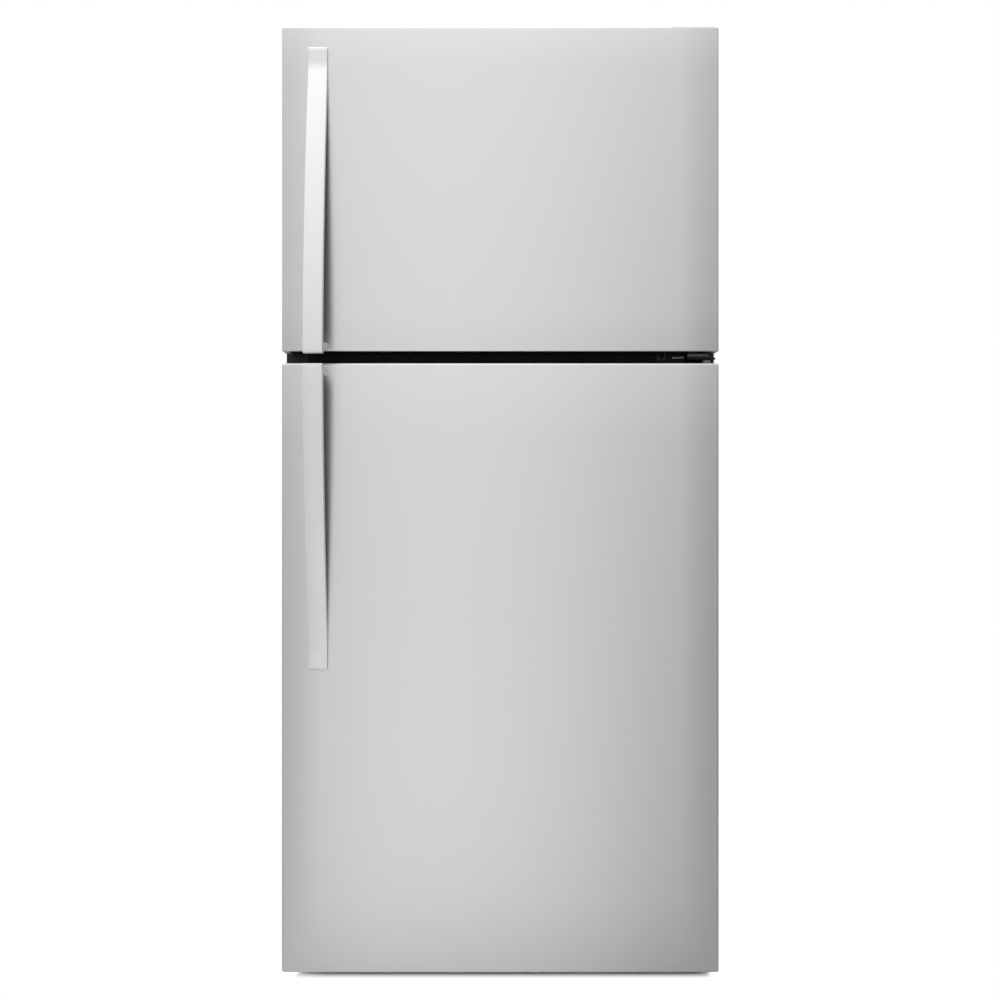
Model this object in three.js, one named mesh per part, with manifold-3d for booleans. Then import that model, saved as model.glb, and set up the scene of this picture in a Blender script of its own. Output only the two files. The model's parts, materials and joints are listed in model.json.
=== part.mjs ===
// Top freezer refrigerator: a steel cabinet with two liners, two hinged doors and its cooling machinery.
// Millimetres, +Z up. The origin is on the floor below the middle of the whole object; the doors face -Y.
import * as THREE from "three";
import { mergeVertices } from "three/addons/utils/BufferGeometryUtils.js";
import Module from "manifold-3d";

const wasm = await Module();
wasm.setup();

// ---------------------------------------------------------------- driving dimensions
const CABINET = { width: 756, depth: 709, top: 1648, bottom: 24 };
const DOOR = { width: 752, thickness: 53.7, sheet: 1, corner: 5, cap: 12 };
const DOOR_SETBACK = 66; // from a door's front face to the cabinet's front face
const FRIDGE_DOOR = { bottom: 18, height: 1049 };
const DOOR_GAP = 20;
const FREEZER_DOOR = { bottom: FRIDGE_DOOR.bottom + FRIDGE_DOOR.height + DOOR_GAP, height: 557.5 };
const HANDLE = { reach: 75, flush: 12, width: 33.4, x: -313.3, thickness: 13, flushEnd: 522 };
const HINGE = { x: 360, fromDoorFront: 36, pin: 4, clearance: 0.5, plate: 3 };
const GAP = 0.3; // between pieces that touch
const SHEET = 1; // steel sheet of the cabinet
const LINER = 2.5; // thickness of the moulded liners

const DEPTH = HANDLE.reach + DOOR_SETBACK + CABINET.depth;
const CABINET_Y = DEPTH / 2 - CABINET.depth; // the cabinet's front face
const DOOR_Y = CABINET_Y - DOOR_SETBACK; // the doors' front face
const HINGE_Y = HINGE.fromDoorFront - DOOR_SETBACK; // hinge axis, measured from the cabinet's front face

// Compartments, in the cabinet's frame: y runs back from the cabinet's front face.
const FREEZER = { half: 320, floor: 1120, ceiling: 1590, back: 639 };
const FRIDGE = { half: 333, floor: 92, ceiling: 1034, back: 639 };
const HUMP = { front: 430, shoulder: 330, ledge: 400 }; // the step over the machine compartment
const MACHINE = { front: 470, shoulder: 310, roof: 355 };
const FLANGE = { side: 38, top: 34 }; // the cabinet's front flange, where the gaskets seal
const RAIL = { bottom: 30, top: 65.7, depth: 34 };
const SHELF_FRONT = 110;
const REAR_PANEL_Y = CABINET.depth - 1.5;
const REAR_SEAM = 330; // height of the seam between the back panel and the machine compartment's cover
const VENT = { width: 72, height: 10, bottom: 140, rows: 5, rowPitch: 30, columnPitch: 100 };
const BUSHING = { x: 318, z: 80, radius: 9 };

// ---------------------------------------------------------------- materials
const paint = (color, roughness, metalness, opacity = 1) =>
  new THREE.MeshStandardMaterial({ color, roughness, metalness, opacity, transparent: opacity < 1 });
const MATERIAL = {
  stainless: paint(0xb9babb, 0.38, 0.9),
  handle: paint(0xd9dadb, 0.3, 0.8),
  cabinet: paint(0x1b1b1c, 0.6, 0.2),
  black: paint(0x121213, 0.55, 0),
  white: paint(0xf1f2f2, 0.35, 0),
  clear: paint(0xe4eef0, 0.12, 0, 0.35),
  glass: paint(0xd8e8e4, 0.05, 0, 0.35),
  gasket: paint(0x202122, 0.8, 0),
  foam: paint(0xe6dcae, 0.9, 0),
  zinc: paint(0x9c9ea0, 0.4, 0.85),
  grey: paint(0x8b8d8f, 0.5, 0),
  machine: paint(0x161617, 0.5, 0.4),
  aluminium: paint(0xc7c9cb, 0.4, 0.9),
};

// ---------------------------------------------------------------- solids
function manifoldOf(geometry) {
  const bare = (geometry.index ? geometry.toNonIndexed() : geometry.clone());
  bare.deleteAttribute("normal");
  bare.deleteAttribute("uv");
  const merged = mergeVertices(bare, 1e-3);
  return new wasm.Manifold(
    new wasm.Mesh({
      numProp: 3,
      vertProperties: merged.attributes.position.array,
      triVerts: new Uint32Array(merged.index.array),
    }),
  );
}

function geometryOf(solid) {
  const mesh = solid.getMesh();
  const geometry = new THREE.BufferGeometry();
  geometry.setAttribute("position", new THREE.BufferAttribute(mesh.vertProperties, 3));
  geometry.setIndex(new THREE.BufferAttribute(mesh.triVerts, 1));
  return geometry;
}

const join = (...parts) => geometryOf(parts.map(manifoldOf).reduce((a, b) => a.add(b)));
const cut = (body, ...tools) =>
  geometryOf([manifoldOf(body), ...tools.map(manifoldOf)].reduce((a, b) => a.subtract(b)));

// A block between two values on each axis.
function block([x0, x1], [y0, y1], [z0, z1]) {
  return new THREE.BoxGeometry(x1 - x0, y1 - y0, z1 - z0).translate(
    (x0 + x1) / 2,
    (y0 + y1) / 2,
    (z0 + z1) / 2,
  );
}

// An outline drawn in the plane across `axis`, carried along it.
// Across X it is drawn in (y, z), across Y in (x, z) and across Z in (x, y).
function prism(outline, axis, [from, to], options = {}) {
  const points = (list) => list.map(([u, v]) => new THREE.Vector2(u, v));
  const shape = Array.isArray(outline) ? new THREE.Shape(points(outline)) : outline;
  const geometry = new THREE.ExtrudeGeometry(shape, { depth: to - from, bevelEnabled: false, ...options });
  const turn = new THREE.Matrix4();
  if (axis === "x") turn.set(0, 0, 1, from, 1, 0, 0, 0, 0, 1, 0, 0, 0, 0, 0, 1);
  if (axis === "y") turn.set(1, 0, 0, 0, 0, 0, -1, to, 0, 1, 0, 0, 0, 0, 0, 1);
  if (axis === "z") turn.makeTranslation(0, 0, from);
  return geometry.applyMatrix4(turn);
}

// A round bar along an axis through (a, b), the other two coordinates in X, Y, Z order.
function rod(radius, axis, [from, to], [a, b], sides = 20) {
  const bar = new THREE.CylinderGeometry(radius, radius, to - from, sides);
  const middle = (from + to) / 2;
  if (axis === "x") return bar.rotateZ(-Math.PI / 2).translate(middle, a, b);
  if (axis === "y") return bar.translate(a, middle, b);
  return bar.rotateX(Math.PI / 2).translate(a, b, middle);
}

// An open-topped box with walls of one thickness.
function tub([x0, x1], [y0, y1], [z0, z1], wall) {
  return cut(
    block([x0, x1], [y0, y1], [z0, z1]),
    block([x0 + wall, x1 - wall], [y0 + wall, y1 - wall], [z0 + wall, z1 + 1]),
  );
}

const mirrored = ([a, b]) => [-b, -a];
const sides = [
  { name: "left", sign: -1, flip: mirrored },
  { name: "right", sign: 1, flip: (range) => range },
];

function piece(group, name, geometry, material, position = [0, 0, 0]) {
  const mesh = new THREE.Mesh(geometry, material);
  mesh.name = name;
  mesh.position.set(...position);
  group.add(mesh);
  return mesh;
}

function groupAt(parent, ...position) {
  const group = new THREE.Group();
  group.position.set(...position);
  parent.add(group);
  return group;
}

// ---------------------------------------------------------------- cabinet structure
const half = CABINET.width / 2;
const inside = half - SHEET - GAP; // half the width between the cabinet's side sheets

// The fresh food cavity's side view, grown outwards by `grow` on every face but the open front.
function fridgeOutline(grow, front) {
  const slant = grow * Math.SQRT2;
  const { front: y0, shoulder, ledge } = HUMP;
  return [
    [front, FRIDGE.floor - grow],
    [y0 + grow, FRIDGE.floor - grow],
    [y0 + grow, shoulder + grow - slant],
    [y0 + ledge - shoulder - grow + slant, ledge - grow],
    [FRIDGE.back + grow, ledge - grow],
    [FRIDGE.back + grow, FRIDGE.ceiling + grow],
    [front, FRIDGE.ceiling + grow],
  ];
}

const freezerTub = (grow, front) =>
  block(
    [-FREEZER.half - grow, FREEZER.half + grow],
    [front, FREEZER.back + grow],
    [FREEZER.floor - grow, FREEZER.ceiling + grow],
  );
const fridgeTub = (grow, front) =>
  prism(fridgeOutline(grow, front), "x", [-FRIDGE.half - grow, FRIDGE.half + grow]);

function addShell(cabinet) {
  const { top, bottom, depth } = CABINET;
  const wrap = (x, ceiling, y) => [
    block([-half, -x], y, [bottom, top]),
    block([x, half], y, [bottom, top]),
    block([-half, half], y, [ceiling, top]),
  ];
  const wrapper = join(
    ...wrap(half - SHEET, top - SHEET, [0, depth]),
    ...wrap(half - FLANGE.side, top - FLANGE.top, [0, SHEET]),
  );
  piece(cabinet, "cabinet_wrapper", wrapper, MATERIAL.cabinet);

  const rear = [REAR_PANEL_Y, REAR_PANEL_Y + SHEET];
  const through = [REAR_PANEL_Y - 10, REAR_PANEL_Y + 10];
  piece(
    cabinet,
    "back_panel",
    block([-inside, inside], rear, [REAR_SEAM + GAP, top - SHEET - GAP]),
    MATERIAL.zinc,
  );
  const vents = [];
  for (let column = -2.5; column <= 2.5; column++) {
    for (let row = 0; row < VENT.rows; row++) {
      const x = column * VENT.columnPitch;
      const z = VENT.bottom + row * VENT.rowPitch;
      vents.push(block([x - VENT.width / 2, x + VENT.width / 2], through, [z, z + VENT.height]));
    }
  }
  const cover = cut(
    block([-inside, inside], rear, [RAIL.bottom + 4, REAR_SEAM - GAP]),
    rod(BUSHING.radius + 0.4, "y", through, [BUSHING.x, BUSHING.z], 16),
    ...vents,
  );
  piece(cabinet, "machine_compartment_cover", cover, MATERIAL.zinc);
  const neck = rod(BUSHING.radius, "y", [REAR_PANEL_Y - 9.5, depth], [0, 0], 16);
  const collar = rod(BUSHING.radius + 3, "y", [REAR_PANEL_Y - 9.5, REAR_PANEL_Y - 0.6], [0, 0], 16);
  piece(cabinet, "cord_bushing", join(neck, collar), MATERIAL.black, [BUSHING.x, 0, BUSHING.z]);
}

function addLiners(cabinet) {
  const edge = half - FLANGE.side - GAP;
  const freezer = cut(
    join(
      freezerTub(LINER, 0),
      block([-edge, edge], [0, LINER], [FREEZER.floor - LINER, CABINET.top - FLANGE.top - GAP]),
    ),
    freezerTub(0, -1),
  );
  piece(cabinet, "freezer_liner", freezer, MATERIAL.white);

  const fridge = cut(
    join(
      fridgeTub(LINER, 0),
      block([-edge, edge], [0, LINER], [RAIL.top + GAP, FRIDGE.ceiling + LINER]),
    ),
    fridgeTub(0, -1),
  );
  piece(cabinet, "fresh_food_liner", fridge, MATERIAL.white);

  // The rail between the two compartments, open at the back.
  const [low, high] = [FRIDGE.ceiling + LINER + GAP, FREEZER.floor - LINER - GAP];
  const mullion = cut(
    block([-edge, edge], [0, 12], [low, high]),
    block([-edge + LINER, edge - LINER], [LINER, 13], [low + LINER, high - LINER]),
  );
  piece(cabinet, "mullion_cover", mullion, MATERIAL.black);

  // Foam between the shell and the liners, open below the hump for the machine compartment.
  const machine = [
    [MACHINE.front, RAIL.bottom],
    [CABINET.depth + 1, RAIL.bottom],
    [CABINET.depth + 1, MACHINE.roof],
    [MACHINE.front + MACHINE.roof - MACHINE.shoulder, MACHINE.roof],
    [MACHINE.front, MACHINE.shoulder],
  ];
  const span = [RAIL.bottom + 2 + GAP, CABINET.top - SHEET - GAP];
  const foam = cut(
    block([-inside, inside], [LINER + GAP, REAR_PANEL_Y - GAP], span),
    freezerTub(LINER + GAP, -1),
    fridgeTub(LINER + GAP, -1),
    prism(machine, "x", [-half, half]),
    block([-edge - GAP, edge + GAP], [-1, 12 + GAP], [FRIDGE.ceiling, FREEZER.floor]),
    block([-half, half], [-1, RAIL.depth + GAP], [0, RAIL.top + GAP]),
  );
  piece(cabinet, "cabinet_insulation", foam, MATERIAL.foam);
}

const LEG = { x: 300, y: 24, shank: 4.8, foot: 14 };
const ROLLER = { x: 330, y: 640, radius: 14, width: 20, axle: 3 };

function addBase(cabinet) {
  const { bottom, top, depth } = RAIL;
  const edge = half - FLANGE.side - GAP;
  const rail = cut(
    join(
      block([-edge, edge], [0, depth], [bottom, top]),
      block([-inside, inside], [SHEET + GAP, depth], [bottom, top]),
    ),
    block([-edge + LINER, edge - LINER], [LINER, depth + 1], [bottom + LINER, top - LINER]),
    block([-half, half], [SHEET + GAP + LINER, depth + 1], [bottom + LINER, top - LINER]),
    ...sides.map(({ sign }) =>
      rod(LEG.shank + 0.6, "z", [bottom - 1, bottom + 4], [sign * LEG.x, LEG.y]),
    ),
  );
  piece(cabinet, "front_rail", rail, MATERIAL.black);

  // The pan carries a bracket and a fixed axle for each rear roller.
  const cheek = ROLLER.width / 2 + 1;
  const axle = [ROLLER.y, ROLLER.radius];
  const brackets = sides.flatMap(({ sign }) => [
    ...[-1, 1].map((side) => {
      const x = sign * ROLLER.x + side * (cheek + 1);
      return block([x - 1, x + 1], [ROLLER.y - 10, ROLLER.y + 10], [7, bottom + 1]);
    }),
    rod(ROLLER.axle, "x", [sign * ROLLER.x - cheek - 1, sign * ROLLER.x + cheek + 1], axle, 16),
  ]);
  const plate = block([-inside, inside], [depth + GAP, REAR_PANEL_Y - GAP], [bottom, bottom + 2]);
  const pan = join(plate, ...brackets);
  piece(cabinet, "base_pan", pan, MATERIAL.zinc);

  for (const { name, sign } of sides) {
    const wheel = cut(
      rod(ROLLER.radius, "x", [-ROLLER.width / 2, ROLLER.width / 2], [0, 0], 32),
      rod(ROLLER.axle + 0.4, "x", [-ROLLER.width, ROLLER.width], [0, 0], 16),
    );
    piece(cabinet, `rear_roller_${name}`, wheel, MATERIAL.grey, [sign * ROLLER.x, ROLLER.y, ROLLER.radius]);

    const leg = join(
      rod(LEG.foot, "z", [0, 7], [0, 0], 24),
      rod(8, "z", [6, 15], [0, 0], 6),
      rod(LEG.shank, "z", [14, 52], [0, 0], 16),
    );
    piece(cabinet, `leveling_leg_${name}`, leg, MATERIAL.zinc, [sign * LEG.x, LEG.y, 0]);
  }

  const slots = [];
  for (let x = -355; x < 300; x += 50) {
    for (const z of [9, 17]) slots.push(block([x, x + 38], [0, 12], [z, z + 4.5]));
  }
  const grille = cut(block([-372, 320], [2, 6], [3, bottom - GAP]), ...slots);
  piece(cabinet, "toe_grille", grille, MATERIAL.black);
}

// ---------------------------------------------------------------- hinges
const HOOD = { x: [297, 376], top: 1664, nose: 1653.2, wall: 2 };

function addHinges(cabinet) {
  const { x, pin, plate } = HINGE;
  const outer = 374;
  const width = [x - 34, outer];
  const axis = [x, HINGE_Y];

  // The bottom hinge's arm steps up behind the pin and folds forward again under the front rail.
  const [armLow, armHigh, armBack] = [10, RAIL.bottom - GAP, 40];
  const step = [
    [HINGE_Y - 12, armLow],
    [armBack, armLow],
    [armBack, armHigh],
    [8, armHigh],
    [8, armHigh - plate],
    [armBack - plate, armHigh - plate],
    [armBack - plate, armLow + plate],
    [HINGE_Y - 12, armLow + plate],
  ];
  const bottomHinge = join(
    prism(step, "x", width),
    rod(9, "z", [12, FRIDGE_DOOR.bottom - GAP], axis),
    rod(pin, "z", [12, FRIDGE_DOOR.bottom + 11], axis),
  );
  piece(cabinet, "bottom_hinge", bottomHinge, MATERIAL.zinc);

  const middle = FREEZER_DOOR.bottom - DOOR_GAP / 2;
  const centerHinge = join(
    block([275, outer], [-plate, -GAP], [middle - 13, middle + 21]),
    block(width, [HINGE_Y - 12, -1], [middle - plate / 2, middle + plate / 2]),
    rod(8, "z", [middle, FREEZER_DOOR.bottom - GAP], axis),
    rod(pin, "z", [middle - DOOR_GAP / 2 - 11, middle + DOOR_GAP / 2 + 11], axis),
  );
  piece(cabinet, "center_hinge", centerHinge, MATERIAL.zinc);

  const top = CABINET.top + GAP;
  const topHinge = join(
    block([301, outer - 3], [HINGE_Y - 9, 75], [top, top + plate]),
    rod(pin, "z", [FREEZER_DOOR.bottom + FREEZER_DOOR.height - 11, top + 1], axis),
  );
  piece(cabinet, "top_hinge", topHinge, MATERIAL.zinc);

  // The cover slopes down to the door, with its hollow open below.
  const hoodOutline = (wall, low) => [
    [HINGE_Y - 11 + wall, low],
    [82 - wall, low],
    [82 - wall, HOOD.top - wall],
    [8 + wall / 2, HOOD.top - wall],
    [HINGE_Y - 11 + wall, HOOD.nose - wall * 0.7],
  ];
  const hoodCover = cut(
    prism(hoodOutline(0, top - 2), "x", HOOD.x),
    prism(hoodOutline(HOOD.wall, top - 10), "x", [HOOD.x[0] + HOOD.wall, HOOD.x[1] - HOOD.wall]),
    block([HOOD.x[0] - 1, HOOD.x[1] + 1], [-GAP, 90], [top - 20, top]),
  );
  piece(cabinet, "top_hinge_cover", hoodCover, MATERIAL.black);
}

// ---------------------------------------------------------------- freezer compartment
const FAN = { freezer: { y: 590, z: 1440, radius: 52 }, machine: { x: -75, y: 590, z: 150, radius: 70 } };

// Blades round a hub, turning about Z.
function fanWheel(radius, hub, depth, blades) {
  const blade = new THREE.Shape();
  blade.moveTo(hub * 0.6, -hub * 0.4);
  blade.quadraticCurveTo(radius * 0.8, -radius * 0.5, radius, -radius * 0.1);
  blade.quadraticCurveTo(radius * 1.02, radius * 0.22, radius * 0.9, radius * 0.4);
  blade.quadraticCurveTo(radius * 0.6, radius * 0.2, hub * 0.6, hub * 0.4);
  const parts = [rod(hub, "z", [-depth / 2, depth / 2], [0, 0], 20)];
  for (let i = 0; i < blades; i++) {
    parts.push(
      prism(blade, "z", [-1, 1], { curveSegments: 5 })
        .rotateX(0.35)
        .rotateZ((2 * Math.PI * i) / blades),
    );
  }
  return join(...parts);
}

function addFreezerInside(cabinet) {
  const { half: wide, floor, ceiling, back } = FREEZER;
  const side = wide - GAP;
  const slots = [];
  for (let row = -4; row <= 4; row++) {
    const reach = Math.sqrt(1 - (row / 5) ** 2) * FAN.freezer.radius;
    const z = FAN.freezer.z + 11 * row;
    slots.push(block([-reach, reach], [560, 590], [z - 3.2, z + 3.2]));
  }
  for (let x = -270; x <= 230; x += 50) {
    slots.push(block([x, x + 36], [560, 590], [floor + 12, floor + 20]));
  }
  const cover = cut(block([-side, side], [574, 577], [floor + GAP, ceiling - GAP]), ...slots);
  piece(cabinet, "evaporator_cover", cover, MATERIAL.white);

  const coil = { half: 247, low: 1135, high: 1305, front: 584 };
  const core = sides.map(({ flip }) =>
    block(flip([coil.half - 4, coil.half]), [coil.front, back - GAP], [coil.low, coil.high]),
  );
  for (let x = -200; x <= 200; x += 50) {
    core.push(block([x - 0.6, x + 0.6], [coil.front, back - 5], [coil.low + 5, coil.high - 5]));
  }
  for (const z of [coil.low + 45, coil.high - 45]) {
    for (const y of [coil.front + 13, back - 18]) {
      core.push(rod(4.5, "x", [-coil.half + 2, coil.half - 2], [y, z], 8));
    }
  }
  piece(cabinet, "evaporator", join(...core), MATERIAL.aluminium);

  const fan = FAN.freezer;
  const motor = join(
    rod(24, "y", [604, 630], [0, fan.z]),
    rod(3, "y", [583, 606], [0, fan.z], 12),
    block([-60, 60], [628, back - GAP], [fan.z - 12, fan.z + 12]),
  );
  piece(cabinet, "evaporator_fan_motor", motor, MATERIAL.black);
  const wheel = cut(fanWheel(fan.radius, 13, 14, 4), rod(3.5, "z", [-10, 10], [0, 0], 12));
  piece(cabinet, "evaporator_fan", wheel.rotateX(Math.PI / 2), MATERIAL.grey, [0, fan.y, fan.z]);

  const shelf = join(
    block([-side, side], [122, 560], [1352, 1356]),
    block([-side, side], [115, 127], [1346, 1364]),
    block([-side, side], [552, 562], [1346, 1360]),
  );
  piece(cabinet, "freezer_shelf", shelf, MATERIAL.white);
}

// ---------------------------------------------------------------- fresh food compartment
const CONTROL = { half: 275, front: 44, back: 240, bottom: 983, knobZ: 1008, knobX: 90 };
const SWITCH = { x: 246, radius: 5, front: 22.5 };

function glassShelf(front, back, z, wide) {
  return join(
    block([-wide, wide], [front + 4, back - 4], [z - 6, z - 2]),
    block([-wide, wide], [front, front + 14], [z - 16, z]),
    block([-wide, wide], [back - 12, back], [z - 14, z + 6]),
    ...sides.map(({ flip }) => block(flip([wide - 6, wide]), [front, back], [z - 16, z])),
  );
}

function addControls(cabinet) {
  const { half: wide, front, back, bottom, knobZ, knobX } = CONTROL;
  const top = FRIDGE.ceiling - GAP;
  const housing = cut(
    block([-wide, wide], [front, back], [bottom, top]),
    block([-wide + LINER, wide - LINER], [front + LINER, back - LINER], [bottom + LINER, top + 1]),
    ...[-knobX, knobX].map((x) => rod(5, "y", [front - 1, front + 5], [x, knobZ], 16)),
    rod(SWITCH.radius + 0.5, "y", [front - 1, front + 5], [SWITCH.x, knobZ], 16),
    block([-60, 60], [150, 220], [bottom - 1, bottom + 5]),
  );
  piece(cabinet, "control_housing", housing, MATERIAL.white);

  const dial = join(
    rod(19, "y", [-16, -1], [0, 0], 32),
    block([-3, 3], [-22, -15], [-17, 17]),
    rod(4.4, "y", [-2, 14], [0, 0], 16),
  );
  piece(cabinet, "freezer_control_knob", dial, MATERIAL.grey, [-knobX, front, knobZ]);
  piece(cabinet, "refrigerator_control_knob", dial.clone(), MATERIAL.grey, [knobX, front, knobZ]);
  const plunger = join(
    rod(SWITCH.radius, "y", [SWITCH.front, front + 20], [0, 0], 16),
    rod(8, "y", [front + 14, front + 18], [0, 0], 16),
  );
  piece(cabinet, "door_light_switch", plunger, MATERIAL.grey, [SWITCH.x, 0, knobZ]);
}

const CRISPER = { bottom: 96, top: 300, outer: 294, inner: 5, back: 424, wall: 3 };

function addCrispers(cabinet) {
  const coverTop = 330;
  const wide = FRIDGE.half - GAP;
  const cover = join(
    glassShelf(SHELF_FRONT, HUMP.front - GAP, coverTop - 2, wide),
    ...sides.map(({ flip }) => block(flip([CRISPER.outer + 3, wide]), [SHELF_FRONT, 425], [230, 320])),
  );
  piece(cabinet, "crisper_cover_shelf", cover, MATERIAL.glass);

  for (const { name, flip, sign } of sides) {
    const { bottom, top, outer, inner, back, wall } = CRISPER;
    const span = flip([inner, outer]);
    const drawer = join(
      tub(span, [SHELF_FRONT + 2, back], [bottom, top], wall),
      block(span, [SHELF_FRONT, SHELF_FRONT + 5], [bottom, top + 8]),
      block(flip([inner + 60, outer - 60]), [SHELF_FRONT - 10, SHELF_FRONT + 1], [268, 272]),
    );
    piece(cabinet, `crisper_drawer_${name}`, drawer, MATERIAL.clear);
    const tab = join(block([-26, 26], [-2.5, -GAP], [-6, 6]), block([-5, 5], [-7, -2], [-5, 5]));
    const middle = (sign * (inner + outer)) / 2;
    piece(cabinet, `humidity_slide_${name}`, tab, MATERIAL.grey, [middle, SHELF_FRONT, 292]);
  }
}

function addFridgeInside(cabinet) {
  const wide = FRIDGE.half - GAP;
  for (const [name, z] of Object.entries({ upper: 770, lower: 545 })) {
    const shelf = glassShelf(SHELF_FRONT, FRIDGE.back - GAP, z, wide);
    piece(cabinet, `${name}_glass_shelf`, shelf, MATERIAL.glass);
  }
  addControls(cabinet);
  addCrispers(cabinet);
}

// ---------------------------------------------------------------- machine compartment
// A flat zigzag of straight runs along X joined by half turns.
class Zigzag extends THREE.Curve {
  constructor(runs, length, pitch) {
    super();
    Object.assign(this, { runs, length, pitch });
  }
  getPoint(t, target = new THREE.Vector3()) {
    const turn = (Math.PI * this.pitch) / 2;
    const period = this.length + turn;
    const along = t * (this.runs * period - turn);
    const run = Math.min(Math.floor(along / period), this.runs - 1);
    const rest = along - run * period;
    const forward = run % 2 === 0 ? 1 : -1;
    const start = (-forward * this.length) / 2;
    if (rest <= this.length) return target.set(start + forward * rest, run * this.pitch, 0);
    const angle = ((rest - this.length) / turn) * Math.PI;
    const radius = this.pitch / 2;
    return target.set(
      -start + forward * radius * Math.sin(angle),
      run * this.pitch + radius * (1 - Math.cos(angle)),
      0,
    );
  }
}

function circle(radius, segments) {
  const shape = new THREE.Shape();
  shape.absarc(0, 0, radius, 0, 2 * Math.PI, false);
  return new THREE.Shape(shape.getPoints(segments).slice(0, -1));
}

function addMachinery(cabinet) {
  const floor = RAIL.bottom + 2 + GAP;
  const dome = [[0, 10], [72, 12], [80, 24], [80, 104], [74, 132], [52, 156], [22, 168], [0, 170]];
  const compressor = join(
    new THREE.LatheGeometry(dome.map(([r, z]) => new THREE.Vector2(r, z)), 28).rotateX(Math.PI / 2),
    block([-95, 95], [-60, 60], [8, 12]),
    ...[-80, 80].flatMap((x) => [-46, 46].map((y) => rod(11, "z", [0, 9], [x, y], 14))),
    block([-30, 30], [70, 92], [50, 110]),
    rod(5, "z", [150, 196], [-40, 20], 10),
  );
  piece(cabinet, "compressor", compressor, MATERIAL.machine, [-245, 592, floor]);

  const path = new Zigzag(6, 220, 34);
  const tube = new THREE.ExtrudeGeometry(circle(3.2, 8), { steps: 60, extrudePath: path });
  const coil = join(
    tube.translate(185, 500, 80),
    ...[85, 285].map((x) => block([x - 1.5, x + 1.5], [490, 692], [floor, 84])),
  );
  piece(cabinet, "condenser_coil", coil, MATERIAL.machine);
  piece(cabinet, "drain_pan", tub([90, 280], [488, 694], [floor, 62], 2), MATERIAL.black);

  const fan = FAN.machine;
  const wheel = cut(fanWheel(fan.radius, 16, 18, 5), rod(3.6, "z", [-12, 12], [0, 0], 12));
  piece(cabinet, "condenser_fan", wheel.rotateY(Math.PI / 2), MATERIAL.grey, [fan.x, fan.y, fan.z]);
  const motor = join(
    rod(30, "x", [fan.x + 16, fan.x + 52], [fan.y, fan.z]),
    rod(3.1, "x", [fan.x - 12, fan.x + 20], [fan.y, fan.z], 12),
    block([fan.x + 48, fan.x + 52], [fan.y - 20, fan.y + 20], [floor, fan.z]),
    block([fan.x + 48, fan.x + 80], [fan.y - 20, fan.y + 20], [floor, floor + 3]),
  );
  piece(cabinet, "condenser_fan_motor", motor, MATERIAL.black);
}

// ---------------------------------------------------------------- doors
// In a door's frame x is measured from its middle, y runs back from its front face
// and z up from its lower edge.
function doorPlan(inset, back) {
  const shape = new THREE.Shape();
  const wide = DOOR.width / 2 - inset;
  const radius = DOOR.corner - inset;
  shape.moveTo(-wide, back);
  shape.lineTo(-wide, inset + radius);
  shape.absarc(-wide + radius, inset + radius, radius, Math.PI, 1.5 * Math.PI, false);
  shape.absarc(wide - radius, inset + radius, radius, 1.5 * Math.PI, 2 * Math.PI, false);
  shape.lineTo(wide, back);
  return shape;
}

const GASKET = { outer: 359, band: 15, fromEdge: 15 };
const DIKE = { depth: 75, width: 20 };

function addDoorShell(door, name, height, dike, bosses) {
  const { width, thickness, sheet, cap } = DOOR;
  const curve = { curveSegments: 6 };
  const skin = cut(
    prism(doorPlan(0, thickness - GAP), "z", [0, height], curve),
    prism(doorPlan(sheet, thickness + 1), "z", [sheet, height - sheet], curve),
    block([-width / 2 + sheet, width / 2 - sheet], [12, thickness + 1], [-1, height + 1]),
  );
  piece(door, `${name}_door_skin`, skin, MATERIAL.stainless);

  const inset = sheet + GAP;
  const bore = HINGE.pin + HINGE.clearance;
  const hole = (z) => rod(bore, "z", [z - 1, z + cap + 1], [HINGE.x, HINGE.fromDoorFront]);
  const caps = { bottom: inset, top: height - inset - cap };
  for (const [end, z] of Object.entries(caps)) {
    const plate = cut(prism(doorPlan(inset, thickness), "z", [z, z + cap], curve), hole(z));
    piece(door, `${name}_door_${end}_cap`, plate, MATERIAL.black);
  }

  const z = [inset + cap + GAP, height - inset - cap - GAP];
  const back = thickness - LINER;
  piece(door, `${name}_door_core`, prism(doorPlan(inset, back - GAP), "z", z, curve), MATERIAL.foam);

  const raised = sides.map(({ flip }) => ({ x: flip([dike.outer - DIKE.width, dike.outer]), ...dike }));
  const liner = cut(
    join(
      block([-width / 2 + inset, width / 2 - inset], [back, thickness], z),
      ...raised.map((d) => block(d.x, [back, thickness + DIKE.depth], d.z)),
      ...bosses,
    ),
    ...raised.map((d) =>
      block(
        [d.x[0] + LINER, d.x[1] - LINER],
        [back - 1, thickness + DIKE.depth - LINER],
        [d.z[0] + LINER, d.z[1] - LINER],
      ),
    ),
  );
  piece(door, `${name}_door_liner`, liner, MATERIAL.white);

  const { outer, band, fromEdge } = GASKET;
  const deep = [thickness + GAP, DOOR_SETBACK - GAP];
  const gasket = cut(
    block([-outer, outer], deep, [fromEdge, height - fromEdge]),
    block([-outer + band, outer - band], [0, 100], [fromEdge + band, height - fromEdge - band]),
  );
  piece(door, `${name}_door_gasket`, gasket, MATERIAL.gasket);
}

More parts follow.
